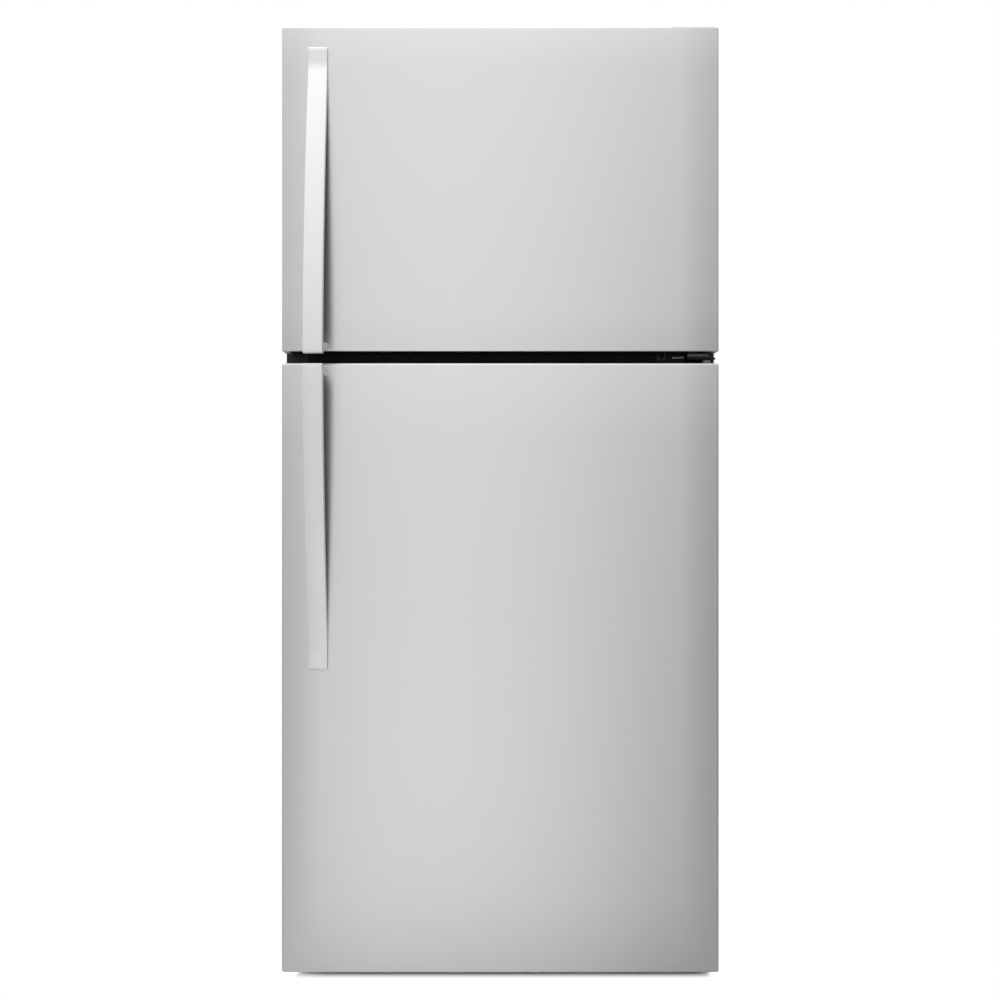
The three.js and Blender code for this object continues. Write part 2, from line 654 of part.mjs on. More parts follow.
// The bar bows out from its flush end to its full reach at the other end, where a foot joins it
// to the door. Heights are from the flush end (0) to the end at the gap (length), and `foot` says
// how far from that end the foot meets the bar and the door.
function handleOutline(length, foot) {
  const { reach, flush, thickness } = HANDLE;
  const steps = 20;
  const height = (i) => (length * i) / steps;
  const front = (h) => {
    const fromGap = Math.min(1, (length - h) / (length * 0.95));
    return flush + (reach - flush) * (1 - fromGap ** 1.7);
  };
  const outline = [];
  for (let i = 0; i <= steps; i++) outline.push([-front(height(i)), height(i)]);
  const inner = (h) => -Math.max(front(h) - thickness, GAP);
  const footTop = length - foot.bar;
  const footBottom = footTop - foot.height;
  outline.push([inner(length), length], [inner(footTop), footTop]);
  outline.push([-GAP, length - foot.door], [-GAP, length - foot.door - foot.height]);
  outline.push([inner(footBottom), footBottom]);
  for (let i = steps - 1; i >= 0; i--) {
    if (height(i) < footBottom - 5) outline.push([inner(height(i)), height(i)]);
  }
  return outline;
}

function addHandle(door, name, flushEnd, gapEnd, foot) {
  const length = Math.abs(gapEnd - flushEnd);
  const up = Math.sign(gapEnd - flushEnd);
  const wide = HANDLE.width / 2;
  const outline = handleOutline(length, foot).map(([y, h]) => [y, up * h]);
  const bar = prism(outline, "x", [-wide, wide]);
  piece(door, `${name}_handle`, bar, MATERIAL.handle, [HANDLE.x, 0, flushEnd]);
}

function bin(door, name, x, [y0, y1], [z0, z1], material) {
  const box = join(
    tub(x, [y0, y1], [z0, z1], LINER),
    block(x, [y0, y0 + LINER], [z0, z1 + 18]),
    block(x, [y1 - 5, y1], [z1 - 12, z1]),
  );
  piece(door, name, box, material);
}

function addFreezerDoor(root) {
  const door = groupAt(root, 0, DOOR_Y, FREEZER_DOOR.bottom);
  const inner = DOOR.thickness + GAP;
  addDoorShell(door, "freezer", FREEZER_DOOR.height, { outer: 304, z: [47, 489] }, []);
  addHandle(door, "freezer", HANDLE.flushEnd, -10.3, { bar: 3, height: 13, door: 11.5 });
  const across = [-282, 282];
  bin(door, "freezer_door_lower_bin", across, [inner, 142], [62, 148], MATERIAL.white);
  bin(door, "freezer_door_upper_bin", across, [inner, 142], [272, 352], MATERIAL.white);
}

const DAIRY = { x: [-296, 60], z: [827, 943], back: 145.4, axis: [147.5, 937] };

function addFridgeDoor(root) {
  const door = groupAt(root, 0, DOOR_Y, FRIDGE_DOOR.bottom);
  const inner = DOOR.thickness + GAP;
  const press = DOOR_SETBACK + SWITCH.front - 0.5;
  const switchZ = CONTROL.knobZ - FRIDGE_DOOR.bottom;
  const boss = block(
    [SWITCH.x - 14, SWITCH.x + 14],
    [DOOR.thickness - 1, press],
    [switchZ - 12, switchZ + 12],
  );
  addDoorShell(door, "fridge", FRIDGE_DOOR.height, { outer: 318, z: [86, 957] }, [boss]);
  addHandle(door, "fridge", HANDLE.flushEnd, 1041, { bar: 2, height: 13, door: 1 });
  const across = [-296, 296];
  bin(door, "gallon_bin", across, [inner, 154], [327, 437], MATERIAL.clear);
  bin(door, "middle_door_bin", across, [inner, 148], [567, 647], MATERIAL.clear);

  const [x0, x1] = DAIRY.x;
  const [z0, z1] = DAIRY.z;
  const box = join(
    cut(
      block([x0, x1], [inner, DAIRY.back], [z0, z1]),
      block([x0 + LINER, x1 - LINER], [inner + LINER, 160], [z0 + LINER, z1 - LINER]),
    ),
    block([x0, x1], [DAIRY.back - 1, DAIRY.back + 5], [z1 - LINER, z1]),
  );
  piece(door, "dairy_compartment", box, MATERIAL.white);
  const [axisY, axisZ] = DAIRY.axis;
  const drop = axisZ - z0 - 4;
  const lid = join(
    block([x0 + 3, x1 - 3], [-1.5, 1.5], [-drop, 2]),
    block([x0 + 130, x1 - 130], [1, 9], [-drop, -drop + 3]),
  );
  piece(door, "dairy_lid", lid, MATERIAL.clear, [0, axisY, axisZ]);
}

// ---------------------------------------------------------------- the whole object
const refrigerator = new THREE.Group();
const cabinet = groupAt(refrigerator, 0, CABINET_Y, 0);
addShell(cabinet);
addLiners(cabinet);
addBase(cabinet);
addHinges(cabinet);
addFreezerInside(cabinet);
addFridgeInside(cabinet);
addMachinery(cabinet);
addFreezerDoor(refrigerator);
addFridgeDoor(refrigerator);

export default refrigerator;
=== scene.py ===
import json
import math

import bmesh
import bpy
from mathutils import Matrix, Vector


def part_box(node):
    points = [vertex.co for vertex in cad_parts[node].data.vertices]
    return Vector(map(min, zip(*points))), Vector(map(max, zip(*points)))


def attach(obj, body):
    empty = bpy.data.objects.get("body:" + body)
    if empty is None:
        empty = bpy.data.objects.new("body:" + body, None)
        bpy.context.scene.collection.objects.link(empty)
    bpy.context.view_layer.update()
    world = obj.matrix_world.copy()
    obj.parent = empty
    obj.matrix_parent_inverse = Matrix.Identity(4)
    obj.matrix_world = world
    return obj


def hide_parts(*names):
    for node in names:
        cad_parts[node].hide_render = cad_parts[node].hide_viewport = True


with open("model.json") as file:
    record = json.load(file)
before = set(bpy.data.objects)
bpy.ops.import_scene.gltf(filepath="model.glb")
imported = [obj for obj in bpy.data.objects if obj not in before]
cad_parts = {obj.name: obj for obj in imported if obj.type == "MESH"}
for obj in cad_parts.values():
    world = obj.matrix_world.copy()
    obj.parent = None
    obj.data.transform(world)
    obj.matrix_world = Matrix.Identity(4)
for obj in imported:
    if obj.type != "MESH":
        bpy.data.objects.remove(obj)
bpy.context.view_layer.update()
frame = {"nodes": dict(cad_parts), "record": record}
nodes = frame["nodes"]
MM = 0.001


# ---------------------------------------------------------------- materials
class Nodes:
    """A shader's node tree, with short ways to add and link nodes."""

    def __init__(self, tree):
        self.tree = tree

    def node(self, kind, **settings):
        made = self.tree.nodes.new("ShaderNode" + kind)
        for key, value in settings.items():
            if key in made.inputs:
                made.inputs[key].default_value = value
            else:
                setattr(made, key, value)
        return made

    def link(self, output, target):
        self.tree.links.new(output, target)

    def map_range(self, value, numbers):
        """Maps a value, by the numbers (from low, from high, to low, to high)."""
        made = self.node("MapRange")
        for socket, number in zip(("From Min", "From Max", "To Min", "To Max"), numbers):
            made.inputs[socket].default_value = number
        self.link(value, made.inputs["Value"])
        return made.outputs["Result"]

    def maths(self, operation, *values):
        made = self.node("Math", operation=operation)
        for socket, value in zip(made.inputs, values):
            if isinstance(value, (int, float)):
                socket.default_value = value
            else:
                self.link(value, socket)
        return made.outputs[0]

    def axes(self, coordinates):
        """The X, Y and Z outputs of one kind of texture coordinates."""
        split = self.node("SeparateXYZ")
        self.link(self.node("TexCoord").outputs[coordinates], split.inputs[0])
        return split.outputs


class Finish(Nodes):
    """A Principled material with the helpers that the finishes below share."""

    def __init__(self, name, color, roughness, metallic=0.0, **sockets):
        self.material = bpy.data.materials.new(name)
        self.material.use_nodes = True
        super().__init__(self.material.node_tree)
        self.shader = self.tree.nodes["Principled BSDF"]
        self.color = color
        self.set("Base Color", (*color, 1))
        self.set("Roughness", roughness)
        self.set("Metallic", metallic)
        for socket, value in sockets.items():
            self.set(socket.replace("_", " "), value)

    def set(self, socket, value):
        self.shader.inputs[socket].default_value = value

    def place(self, stretch):
        """The piece's own coordinates, stretched."""
        source = self.node("TexCoord")
        mapping = self.node("Mapping", Scale=stretch)
        self.link(source.outputs["Object"], mapping.inputs["Vector"])
        return mapping.outputs["Vector"]

    def noise(self, scale, detail=3.0, stretch=(1, 1, 1)):
        made = self.node("TexNoise", Scale=scale, Detail=detail)
        self.link(self.place(stretch), made.inputs["Vector"])
        return made.outputs["Fac"]

    def cells(self, scale):
        made = self.node("TexVoronoi", Scale=scale)
        self.link(self.place((1, 1, 1)), made.inputs["Vector"])
        return made.outputs

    def spread(self, value, low, high, source=(0.3, 0.7)):
        return self.map_range(value, (*source, low, high))

    def rough(self, value, low, high):
        self.link(self.spread(value, low, high), self.shader.inputs["Roughness"])

    def tint(self, value, darkest, lightest=1.0):
        """Varies the colour between two multiples of itself."""
        mix = self.node("Mix", data_type="RGBA")
        mix.inputs[6].default_value = (*(c * darkest for c in self.color), 1)
        mix.inputs[7].default_value = (*(min(1, c * lightest) for c in self.color), 1)
        self.link(self.spread(value, 0, 1), mix.inputs[0])
        self.link(mix.outputs[2], self.shader.inputs["Base Color"])

    def bump(self, *layers):
        """Each layer is (height, strength, distance in metres)."""
        normal = None
        for value, strength, distance in layers:
            made = self.node("Bump", Strength=strength, Distance=distance)
            self.link(value, made.inputs["Height"])
            if normal:
                self.link(normal, made.inputs["Normal"])
            normal = made.outputs["Normal"]
        self.link(normal, self.shader.inputs["Normal"])


def brushed(name, color, roughness, along, spread=0.04, anisotropy=0.0):
    """Metal brushed along one axis: fine scratches and longer, broader streaks."""
    finish = Finish(name, color, roughness, 1.0, Anisotropic=anisotropy)
    fine = tuple(9 if axis == along else 1500 for axis in "xyz")
    broad = tuple(0.7 if axis == along else 260 for axis in "xyz")
    scratches = finish.noise(1, 2, fine)
    streaks = finish.noise(1, 3, broad)
    mean = finish.maths("MULTIPLY", finish.maths("ADD", scratches, streaks), 0.5)
    finish.tint(mean, 0.9875, 1.0125)
    finish.rough(mean, roughness - spread, roughness + spread)
    finish.bump((scratches, 0.025, 0.00002), (streaks, 0.015, 0.00003))
    if anisotropy:
        tangent = finish.node("Tangent", direction_type="RADIAL", axis="X")
        finish.link(tangent.outputs["Tangent"], finish.shader.inputs["Tangent"])
    return finish.material


def painted(name, color, roughness, grain=0.0006, coat=0.0, specular=0.5):
    """Sprayed enamel with a fine orange peel."""
    gloss = {"Coat_Weight": coat, "Coat_Roughness": 0.2, "Specular_IOR_Level": specular}
    finish = Finish(name, color, roughness, **gloss)
    peel = finish.noise(1 / grain, 2)
    dust = finish.noise(9, 5)
    finish.tint(dust, 0.94, 1.08)
    finish.rough(dust, roughness - 0.015, roughness + 0.025)
    finish.bump((peel, 0.35, grain * 0.12))
    return finish.material


def moulded(name, color, roughness, grain=0.0004, tone=0.985, relief=0.05, specular=0.5):
    """Injection moulded plastic: a fine texture and slow flow marks."""
    finish = Finish(name, color, roughness, Specular_IOR_Level=specular)
    texture = finish.noise(1 / grain, 2)
    flow = finish.noise(6, 3, (1, 1, 2.5))
    finish.tint(flow, tone, 1.0)
    finish.rough(flow, roughness - 0.02, roughness + 0.03)
    finish.bump((texture, relief, grain * 0.1))
    return finish.material


def galvanised(name, color, roughness):
    """Zinc-coated sheet with its crystal spangle."""
    finish = Finish(name, color, roughness, 1.0)
    spangle = finish.cells(150)
    finish.tint(spangle["Color"], 0.94, 1.04)
    finish.rough(spangle["Color"], roughness - 0.05, roughness + 0.05)
    finish.bump((spangle["Distance"], 0.04, 0.0002))
    return finish.material


def rubber(name, color):
    finish = Finish(name, color, 0.7, Specular_IOR_Level=0.3)
    bloom = finish.noise(35, 5)
    finish.tint(bloom, 0.9, 1.1)
    finish.rough(bloom, 0.65, 0.78)
    finish.bump((finish.noise(1800, 2), 0.15, 0.00005))
    return finish.material


def see_through(name, color, roughness, face_on, edge_on, ripple=0.02):
    """Clear plastic or glass: more opaque seen edge-on."""
    finish = Finish(name, color, roughness, 0.0, IOR=1.5, Coat_Weight=0.3)
    tilt = finish.node("LayerWeight", Blend=0.35).outputs["Facing"]
    opacity = finish.spread(tilt, face_on, edge_on, (0, 1))
    finish.link(opacity, finish.shader.inputs["Alpha"])
    waves = finish.noise(30, 2)
    finish.rough(waves, roughness, roughness + 0.06)
    finish.bump((waves, ripple, 0.0008))
    return finish.material


def foamed(name, color):
    """Rigid insulation with its open cells."""
    finish = Finish(name, color, 0.9)
    cells = finish.cells(420)
    finish.tint(cells["Distance"], 0.8, 1.05)
    finish.bump((cells["Distance"], 0.5, 0.0006), (finish.noise(25, 4), 0.3, 0.002))
    return finish.material


FINISH = {
    "stainless": brushed("stainless", (0.72, 0.72, 0.725), 0.3, "x", 0.02, anisotropy=0.7),
    "handle_metal": brushed("handle_metal", (0.9, 0.9, 0.905), 0.5, "z", 0.03),
    "cabinet_paint": painted("cabinet_paint", (0.012, 0.012, 0.0125), 0.42, 0.0012, specular=0.35),
    "black_plastic": moulded("black_plastic", (0.006, 0.006, 0.0065), 0.55, 0.0005, 0.9, 0.15, specular=0.3),
    "white_plastic": moulded("white_plastic", (0.85, 0.86, 0.86), 0.33),
    "clear_plastic": see_through("clear_plastic", (0.88, 0.93, 0.95), 0.08, 0.13, 0.62),
    "shelf_glass": see_through("shelf_glass", (0.72, 0.86, 0.82), 0.02, 0.12, 0.7, 0.004),
    "gasket_rubber": rubber("gasket_rubber", (0.012, 0.012, 0.0125)),
    "foam": foamed("foam", (0.8, 0.7, 0.42)),
    "zinc_steel": galvanised("zinc_steel", (0.6, 0.61, 0.62), 0.38),
    "hinge_steel": painted("hinge_steel", (0.007, 0.007, 0.0073), 0.45, 0.0009, specular=0.3),
    "grey_plastic": moulded("grey_plastic", (0.36, 0.37, 0.38), 0.4, 0.0006, 0.92, 0.2),
    "machine_paint": painted("machine_paint", (0.012, 0.012, 0.013), 0.3, 0.0015, 0.4),
    "aluminium": brushed("aluminium", (0.8, 0.81, 0.82), 0.35, "z"),
}
COPPER = brushed("copper", (0.72, 0.36, 0.2), 0.33, "x")
LAMP = moulded("lamp_lens", (0.93, 0.93, 0.9), 0.18, 0.003, 0.98, 0.3)
MARKS = moulded("dial_marks", (0.1, 0.11, 0.12), 0.5)
CAM = moulded("hinge_cam", (0.17, 0.17, 0.175), 0.45)
# painted shade: a near-black finish for a strip on the handle bar's back, so the door beside the handle
# reflects it as shade
SHADE_BACKING = moulded("handle_painted_shade_backing", (0.04, 0.04, 0.041), 0.5, 0.0006, 0.92, 0.2)


# ---------------------------------------------------------------- mesh tools
# Shapes are drawn in millimetres, and piece() brings them to metres. Only a CAD mesh stays in metres.
UP, DOWN, FRONT, REAR = (0, 0, 1), (0, 0, -1), (0, -1, 0), (0, 1, 0)


def box(node):
    """The low and high corners of a CAD node, in millimetres."""
    return [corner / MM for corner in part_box(node)]


def spaced(first, last, count):
    """Evenly spaced numbers, both ends included."""
    return [first + (last - first) * i / (count - 1) for i in range(count)]


def middle_of(node):
    low, high = box(node)
    return (low + high) / 2


def facing(axis, origin, scale=1):
    """Takes +Z to an axis at an origin."""
    turn = Vector(UP).rotation_difference(Vector(axis)).to_matrix().to_4x4()
    return Matrix.Translation(origin) @ turn @ Matrix.Scale(scale, 4)


def add_box(bm, low, high, radius=0.0, segments=3):
    low, high = Vector(low), Vector(high)
    size = high - low
    matrix = Matrix.Translation((low + high) / 2) @ Matrix.Diagonal((*size, 1))
    made = bmesh.ops.create_cube(bm, size=1, matrix=matrix)["verts"]
    if radius:
        edges = list({edge for vertex in made for edge in vertex.link_edges})
        bmesh.ops.bevel(
            bm, geom=edges, offset=min(radius, min(size) * 0.49), segments=segments,
            affect="EDGES", profile=0.5, clamp_overlap=True,
        )


def add_loops(bm, loops, closed=True, capped=(True, True)):
    """Joins loops of equal length with quads; closed loops can be capped at either end."""
    rings = [[bm.verts.new(point) for point in loop] for loop in loops]
    count = len(rings[0])
    for first, second in zip(rings, rings[1:]):
        for i in range(count if closed else count - 1):
            j = (i + 1) % count
            bm.faces.new((first[i], first[j], second[j], second[i]))
    if closed and capped[0]:
        bm.faces.new(rings[0][::-1])
    if closed and capped[1]:
        bm.faces.new(rings[-1])
    return rings


def add_torus(bm, loops):
    """Joins loops with quads, and the last one to the first."""
    add_loops(bm, [*loops, loops[0]], capped=(False, False))
    bmesh.ops.remove_doubles(bm, verts=bm.verts, dist=1e-3)


def add_lathe(bm, profile, matrix, segments):
    """Turns (radius, height) points round Z. A profile that doesn't end on the axis closes on itself."""
    angles = [2 * math.pi * i / segments for i in range(segments)]
    rings = []
    for radius, height in profile:
        points = [Vector((radius * math.cos(a), radius * math.sin(a), height)) for a in angles]
        if radius == 0:
            points = points[:1]
        rings.append([bm.verts.new(matrix @ point) for point in points])
    pairs = list(zip(rings, rings[1:]))
    if profile[0][0] and profile[-1][0]:
        pairs.append((rings[-1], rings[0]))
    for first, second in pairs:
        for i in range(segments):
            j = (i + 1) % segments
            near = first[i % len(first)], first[j % len(first)]
            far = second[j % len(second)], second[i % len(second)]
            unique = list(dict.fromkeys((*near, *far)))
            if len(unique) > 2:
                bm.faces.new(unique)


def add_prism(bm, outline, matrix, depth):
    """Carries an outline in the matrix's XY plane along its Z."""
    add_loops(bm, [[matrix @ Vector((x, y, z)) for x, y in outline] for z in (0, depth)])


def add_side_prism(bm, outline, left, right):
    """Carries a (y, z) outline from left to right."""
    add_loops(bm, [[(x, y, z) for y, z in outline] for x in (left, right)])


def add_hexagon(bm, profile, matrix):
    """A hexagonal head with (radius, height) rows."""
    add_loops(bm, [[matrix @ Vector((x, y, z)) for x, y in arc((0, 0), r, 0, 300, 5)] for r, z in profile])


def add_tube(bm, path, radius, sides, closed=False):
    """A round bar along a path of points, without twist."""
    points = [Vector(point) for point in path]
    count = len(points)
    normal = None
    loops = []
    for i, point in enumerate(points):
        before = points[i - 1] if closed or i else point
        after = points[(i + 1) % count] if closed or i + 1 < count else point
        along = (after - before).normalized()
        if normal is None:
            normal = along.orthogonal().normalized()
        normal = (normal - along * normal.dot(along)).normalized()
        side = along.cross(normal)
        loop = []
        for k in range(sides):
            angle = 2 * math.pi * k / sides
            loop.append(point + radius * (math.cos(angle) * normal + math.sin(angle) * side))
        loops.append(loop)
    if closed:
        add_torus(bm, loops)
    else:
        add_loops(bm, loops)


def curved(points, steps):
    """A smooth path through points."""
    points = [Vector(point) for point in points]
    padded = [2 * points[0] - points[1], *points, 2 * points[-1] - points[-2]]
    path = []
    for p0, p1, p2, p3 in zip(padded, padded[1:], padded[2:], padded[3:]):
        for i in range(steps):
            t = i / steps
            path.append(
                0.5 * (2 * p1 + (p2 - p0) * t + (2 * p0 - 5 * p1 + 4 * p2 - p3) * t**2
                       + (3 * p1 - p0 - 3 * p2 + p3) * t**3)
            )
    return path + [points[-1]]


def arc(center, radius, start, end, steps):
    """Points on an arc, angles in degrees."""
    angles = [math.radians(start + (end - start) * i / steps) for i in range(steps + 1)]
    return [(center[0] + radius * math.cos(a), center[1] + radius * math.sin(a)) for a in angles]


def square(center, half, count):
    """A square's outline from its lower left corner, `count` points to a side."""
    x, z = center
    side = [-half + 2 * half * i / count for i in range(count)]
    lower = [(u, -half) for u in side] + [(half, u) for u in side]
    return [(x + u, z + v) for u, v in lower] + [(x - u, z - v) for u, v in lower]


def add_screw(bm, point, axis, radius, hexagonal=True):
    """A flanged hex head, or a pan head with a cross recess. Both are drawn at a radius of 1."""
    matrix = facing(axis, point, radius)
    if hexagonal:
        flange = [(0, 0), (1.25, 0), (1.3, 0.12), (1.22, 0.24), (0.9, 0.34), (0, 0.34)]
        add_lathe(bm, flange, matrix, 24)
        add_hexagon(bm, [(0.85, 0.3), (0.85, 0.8), (0.697, 0.92)], matrix)
        add_lathe(bm, [(0, 0.93), (0.4, 0.93), (0.3, 0.98), (0, 1)], matrix, 16)
        return
    dome = [(math.cos(a), 0.2 + 0.42 * math.sin(a)) for a in (0, 0.35, 0.7, 1.05, 1.3)]
    add_lathe(bm, [(0, 0), (1, 0), *dome, (0.2, 0.62), (0, 0.5)], matrix, 24)
    slot = [(-0.5, -0.09), (0.5, -0.09), (0.5, 0.09), (-0.5, 0.09)]
    for turn in (0, math.pi / 2):
        recess = matrix @ Matrix.Rotation(turn, 4, "Z") @ Matrix.Translation((0, 0, 0.56))
        add_prism(bm, slot, recess, 0.08)


def turn_faces(bm, outwards):
    """Points the faces away from the middle of an open shell, or towards it."""
    bmesh.ops.recalc_face_normals(bm, faces=bm.faces)
    middle = sum((vertex.co for vertex in bm.verts), Vector()) / len(bm.verts)
    total = sum(
        face.calc_area() * face.normal.dot(face.calc_center_median() - middle) for face in bm.faces
    )
    if (total > 0) != outwards:
        bmesh.ops.reverse_faces(bm, faces=bm.faces)


def piece(
    name, bm, node=None, body="cabinet", slot=None, material=None,
    wall=0.0, outwards=True, bevel=0.0, segments=2, angle=35, unit=MM,
):
    """Turns a drawing into an object that takes a CAD node's place, or is added to a body.

    A shell thickens by `wall`, away from its faces.
    """
    if node:
        body, slot = BODY_OF[node], slot or SLOT_OF[node]
    bmesh.ops.remove_doubles(bm, verts=bm.verts, dist=1e-7 / unit)
    turn_faces(bm, outwards)
    bm.transform(Matrix.Scale(unit, 4))
    mesh = bpy.data.meshes.new(name)
    bm.to_mesh(mesh)
    bm.free()
    mesh.shade_smooth()
    mesh.set_sharp_from_angle(angle=math.radians(max(angle, 35)))
    made = bpy.data.objects.new(name, mesh)
    bpy.context.scene.collection.objects.link(made)
    mesh.materials.append(material or FINISH[slot])
    if wall:
        shell = made.modifiers.new("sheet", "SOLIDIFY")
        shell.thickness = wall * MM
        shell.offset = -1
        shell.use_even_offset = True
    if bevel:
        rim = made.modifiers.new("edges", "BEVEL")
        rim.width = bevel * MM
        rim.segments = segments
        rim.limit_method = "ANGLE"
        rim.angle_limit = math.radians(angle)
        rim.harden_normals = True
    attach(made, body)
    if node:
        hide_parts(node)


def ring(low, high, axis, level, inset, corner):
    """A rounded rectangle across an axis, `inset` inside the box."""
    b, c = (i for i in range(3) if i != axis)
    radius = max(corner - inset, 0.05)
    points = []
    for sb, sc, start in ((1, 1, 0), (-1, 1, 90), (-1, -1, 180), (1, -1, 270)):
        center = [
            (high[i] - inset - radius) if side > 0 else (low[i] + inset + radius)
            for i, side in ((b, sb), (c, sc))
        ]
        for u, v in arc(center, radius, start, start + 90, 5):
            point = Vector()
            point[axis], point[b], point[c] = level, u, v
            points.append(point)
    return points


def rounding(level, inset, radius, sign, hollow=False, steps=5):
    """(level, inset) rows of a quarter turn that ends on the wall; hollow for a fillet against a plate."""
    rows = []
    for i in range(steps + 1):
        a = math.pi / 2 * i / steps
        across = radius * (math.sin(a) - 1) if hollow else radius * (1 - math.sin(a))
        rows.append((level + sign * radius * (1 - math.cos(a)), inset + across))
    return rows


def add_rings(bm, low, high, axis, rows, corner, capped=(True, True)):
    loops = [ring(low, high, axis, level, inset, corner) for level, inset in rows]
    return add_loops(bm, loops, capped=capped)


def add_slab(bm, low, high, axis, near, far, corner, steps=5):
    """A plate across an axis, its rims rounded by `near` at the low face and `far` at the high one."""
    rows = rounding(low[axis], 0, near, 1, steps=steps) if near else [(low[axis], 0)]
    rows += rounding(high[axis], 0, far, -1, steps=steps)[::-1] if far else [(high[axis], 0)]
    add_rings(bm, low, high, axis, rows, corner)


def add_boss(bm, low, high, sign, corner, foot, top, draft=0.0):
    """A moulding on an upright plate's rear (sign 1) or front (-1), filleted at its foot, rounded on top."""
    base, tip = (low[1], high[1]) if sign > 0 else (high[1], low[1])
    rows = rounding(base, 0, foot, sign, hollow=True) + rounding(tip, draft, top, -sign)[::-1]
    add_rings(bm, low, high, 1, rows, corner, capped=(False, True))


def add_frame(bm, low, high, axis, section):
    """A section carried round a rectangle across an axis. It is drawn as (inwards, along the axis)."""
    b, c = (i for i in range(3) if i != axis)
    loops = []
    for sb, sc in ((1, 1), (-1, 1), (-1, -1), (1, -1)):
        loop = []
        for inwards, along in section:
            point = Vector()
            point[axis] = low[axis] + along
            point[b] = (high[b] - inwards) if sb > 0 else (low[b] + inwards)
            point[c] = (high[c] - inwards) if sc > 0 else (low[c] + inwards)
            loop.append(point)
        loops.append(loop)
    add_torus(bm, loops)


BODIES = frame["record"]["behaviour"]["bodies"]
BODY_OF = {node: body for body, members in BODIES.items() for node in members}
SLOT_OF = {part["node"]: part["material_slot"] for part in frame["record"]["subparts"]}


def cad_mesh(node):
    """A CAD solid's facets in metres, joined at their corners."""
    bm = bmesh.new()
    bm.from_mesh(nodes[node].data)
    bmesh.ops.remove_doubles(bm, verts=bm.verts, dist=1e-5)
    return bm


def merge_facets(bm):
    bmesh.ops.dissolve_limit(bm, angle_limit=math.radians(1), verts=bm.verts, edges=bm.edges)


def recast(node, width, segments=2):
    """The CAD solid with its flat facets merged and its edges rounded."""
    bm = cad_mesh(node)
    merge_facets(bm)
    piece(f"{node}_rounded", bm, node, bevel=width, segments=segments, unit=1)


# ---------------------------------------------------------------- doors
SHEET = 1
SKIN_LIP = 12  # how far a skin turns in over its door's end caps
SKIN_CORNER = 2.8


def door_loop(low, high, inset, z):
    """The open outline of a door at one height: left side, rounded corners, front and right side."""
    x, front = high.x - inset, low.y + inset
    radius = max(SKIN_CORNER - inset, 0.3)
    left = arc((-x + radius, front + radius), radius, 180, 270, 6)
    right = arc((x - radius, front + radius), radius, 270, 360, 6)
    span = [(px, front) for px in spaced(left[-1][0], right[0][0], 13)[1:-1]]
    return [(px, py, z) for px, py in [(-x, high.y), *left, *span, *right, (x, high.y)]]


def folded(radius):
    """The turned edge of a sheet, from its lip round to its face, as (rise, inset)."""
    return [(0, SKIN_LIP), (0, 1.6 * radius), *rounding(0, 0, radius, 1, steps=6)]


def door_skin(door):
    """A folded sheet: rounded at every edge, and turned in over the end caps."""
    node = f"{door}_door_skin"
    low, high = box(node)
    lower_fold, upper_fold = 1.8, 4 if door == "fridge" else 1.8
    rows = [(low.z + rise, inset) for rise, inset in folded(lower_fold)]
    rows += [(z, 0) for z in spaced(low.z, high.z, 9)[1:-1]]
    rows += [(high.z - rise, inset) for rise, inset in folded(upper_fold)[::-1]]
    bm = bmesh.new()
    add_loops(bm, [door_loop(low, high, inset, z) for z, inset in rows], closed=False)
    piece(f"{door}_door_panel", bm, node, wall=SHEET, bevel=0.3, angle=60)


HANDLE_THICK, HANDLE_FLUSH = 13, 6.5


def handle_section(left, right, front, back):
    """The bar's (x, y) outline."""
    edge, rear_edge = 1.2, 1
    return [
        *arc((left + edge, front + edge), edge, 180, 270, 4),
        *arc((right - edge, front + edge), edge, 270, 360, 4),
        *arc((right - rear_edge, back - rear_edge), rear_edge, 0, 90, 3),
        *arc((left + rear_edge, back - rear_edge), rear_edge, 90, 180, 3),
    ]


def handle_curve(door, gap_up):
    """Where the bar's front is and how high it is, as functions of the distance from its end at the gap."""
    low, high = box(f"{door}_handle")
    face = box(f"{door}_door_skin")[0].y
    length, bow = high.z - low.z, face - low.y - HANDLE_FLUSH

    def front(along):
        return face - HANDLE_FLUSH - bow * (1 - min(1, along / length / 0.94) ** 1.7)

    def height(along):
        return high.z - along if gap_up else low.z + along

    return front, height


def handle_bar(door, front, height):
    """A flat bar that bows out from its flush end to full reach at the gap."""
    node = f"{door}_handle"
    low, high = box(node)
    length, face = high.z - low.z, box(f"{door}_door_skin")[0].y
    stations = rounding(0, 0, 1.2, 1, steps=4)
    stations += [(along, 0) for along in spaced(0, length, 65)[1:-1]]
    stations += rounding(length, 0, 3, -1, steps=4)[::-1]
    loops = []
    for along, inset in stations:
        back = min(front(along) + HANDLE_THICK, face - 0.4)
        left, right = low.x + 0.3 * inset, high.x - 0.3 * inset
        section = handle_section(left, right, front(along) + inset, back)
        loops.append([(x, y, height(along)) for x, y in section])
    bm = bmesh.new()
    add_loops(bm, loops)
    piece(f"{node}_bar", bm, node, angle=50)


